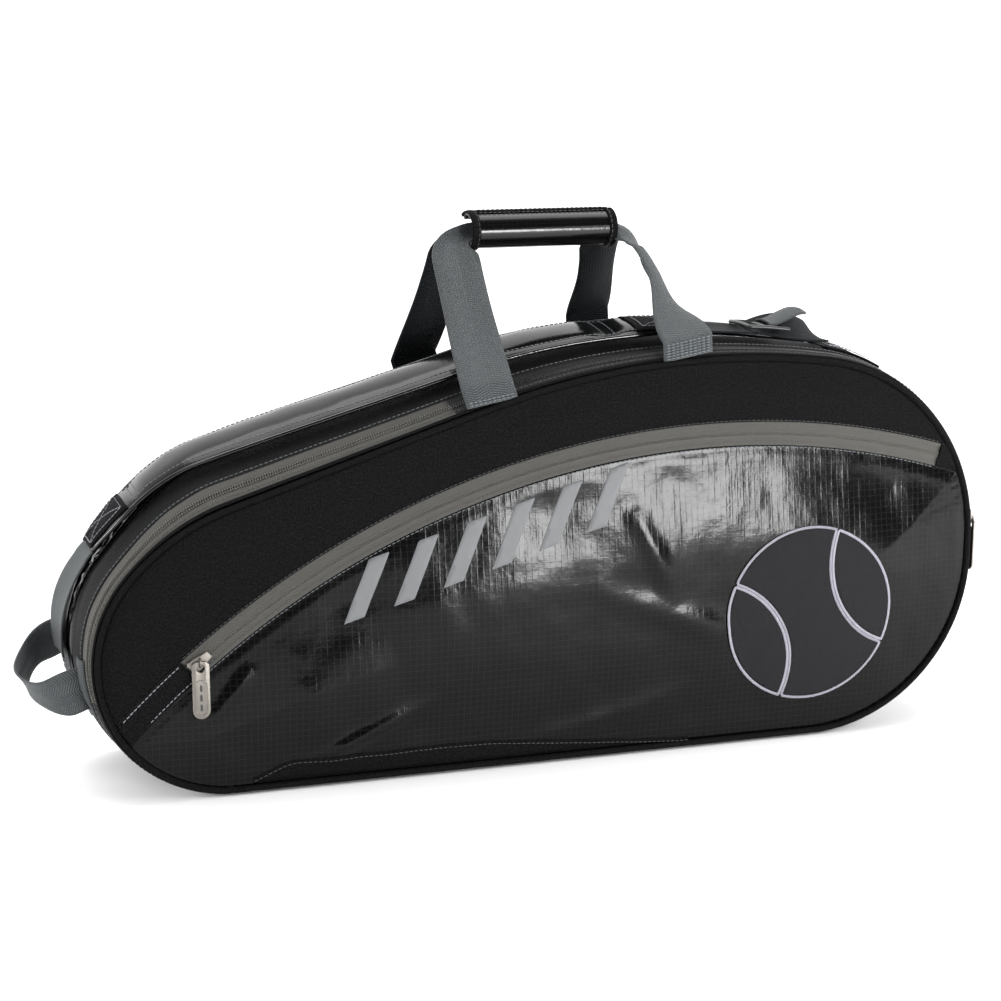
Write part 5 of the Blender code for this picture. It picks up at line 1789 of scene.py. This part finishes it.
def make_lock():
    """The moulded adjuster: a bowed frame with three bars, and the webbing's folded tail."""
    lift = STRAP_LIFT + WEB_RISE + STRAP_SLACK * 0.25
    before, place, after = (middle(LOCK_AT + step, strap_y(LOCK_AT + step), lift)
                            for step in (-0.4, 0.0, 0.4))
    along = (after - before).normalized()
    up = along.cross(Vector((0.0, 1.0, 0.0))).normalized()
    across = up.cross(along)
    centre = place + up * 0.0047
    bars = []
    for shift, radius in ((-LOCK_HALF_LENGTH, 0.0021), (-0.0010, 0.0019),
                          (LOCK_HALF_LENGTH, 0.0021)):
        path = [centre + along * shift + across * s + up * (0.0010 * (1.0 - (s / 0.022) ** 2))
                for s in np.linspace(-LOCK_HALF_WIDTH, LOCK_HALF_WIDTH, 13)]
        bars.append(tube("bar", path, radius, PLASTIC, squeeze=(up, 0.75)))
    for s in (-LOCK_HALF_WIDTH, LOCK_HALF_WIDTH):
        path = [centre + across * s + along * t + up * (0.0008 * math.cos(t * 80.0))
                for t in np.linspace(-0.0186, 0.0186, 17)]
        bars.append(tube("rail", path, 0.0022, PLASTIC, squeeze=(up, 0.8)))
    attach(join("ladder_lock_frame", bars), "ladder_lock", "plastic", ("ladder_lock",))
    route = [centre + along * (0.002 + 0.032 * part)
             + up * (0.0026 + 0.0135 * smooth(part) - 0.0015 * part)
             for part in np.linspace(0.0, 1.0, 20)]
    tail = ribbon("ladder_lock_tail", route, 0.0360, across, 0.0025, WEBBING)
    attach(tail, "ladder_lock", "webbing")
    hem = [stitches("row", [route[k] + across * s + up * (0.0012 + 0.0025 * (1 - (s / 0.018) ** 2))
                            for s in np.linspace(-0.016, 0.016, 12)], up, GREY_THREAD)
           for k in (15, 17)]
    attach(join("ladder_lock_tail_stitches", hem), "ladder_lock", "webbing")


make_rear_panel()
make_boards()
make_base()
make_sliders()
make_handle(FRONT)
make_handle(REAR)
make_wrap()
make_haul_loop()
make_strap()
make_lock()


# Camera, light and floor

def look_from(item, target):
    item.rotation_euler = (Vector(target) - item.location).to_track_quat("-Z", "Y").to_euler()


CAMERA_PLACE, CAMERA_TARGET = (-0.62410, -1.58022, 0.56540), (-0.0175, 0.0, 0.2056)
LIGHTS = (                         # name, place, target, size, watts
    ("key", (-1.2, -1.6, 1.9), (0.0, 0.0, 0.3), (0.7, 0.7), 7.0),
    ("window", (0.70, -2.3, 0.32), (0.05, -0.1, 0.15), (0.62, 0.50), 44.0),
    ("pool", (0.85, -0.90, 0.65), (0.80, -0.85, 0.0), (0.7, 0.5), 12.0),
    ("side", (1.55, -1.0, 0.45), (0.34, -0.1, 0.2), (0.6, 0.6), 15.0),
    ("rim", (-2.1, -0.35, 0.75), (-0.38, 0.0, 0.16), (0.8, 0.8), 30.0),
    ("top", (0.0, 0.5, 2.5), (0.0, 0.35, 0.0), (2.4, 1.8), 46.0),
)
FLOOR_CORNERS = ((-2.6, -2.6, 0.0), (2.6, -2.6, 0.0), (2.6, 1.7, 0.0), (-2.6, 1.7, 0.0))
FLOOR_WHITE = (0.92, 0.92, 0.92)
# The world is dim in front of the bag and bright behind it: range of Y, range of strength
WORLD_FADE = (("From Min", -0.6), ("From Max", 0.35), ("To Min", 0.10), ("To Max", 1.60))


def make_camera():
    data = bpy.data.cameras.new("camera")
    data.lens = 72.0
    data.sensor_width = 36.0
    camera = add_object("camera", data)
    camera.location = CAMERA_PLACE
    look_from(camera, CAMERA_TARGET)
    bpy.context.scene.camera = camera


def make_light(name, place, target, size, power):
    data = bpy.data.lights.new(name, "AREA")
    data.shape = "RECTANGLE"
    data.size, data.size_y = size
    data.energy = power
    light = add_object(name, data)
    light.location = place
    look_from(light, target)


def make_floor():
    floor = new_piece("floor", FLOOR_CORNERS, [(0, 1, 2, 3)],
                      Look("floor", FLOOR_WHITE, 0.7).material)
    floor.location.z = CAD_BOX[0][2] - 0.0005


def make_world():
    world = bpy.data.worlds.new("studio")
    world.use_nodes = True
    nodes, links = world.node_tree.nodes, world.node_tree.links
    place, parts = nodes.new("ShaderNodeTexCoord"), nodes.new("ShaderNodeSeparateXYZ")
    strength = nodes.new("ShaderNodeMapRange")
    strength.interpolation_type = "SMOOTHSTEP"
    for key, value in WORLD_FADE:
        strength.inputs[key].default_value = value
    links.new(place.outputs["Generated"], parts.inputs[0])
    links.new(parts.outputs["Y"], strength.inputs["Value"])
    links.new(strength.outputs[0], nodes["Background"].inputs[1])
    nodes["Background"].inputs[0].default_value = (1.0, 1.0, 1.0, 1.0)
    bpy.context.scene.world = world


make_camera()
for item in LIGHTS:
    make_light(*item)
make_floor()
make_world()
bpy.context.scene.view_settings.view_transform = "Standard"
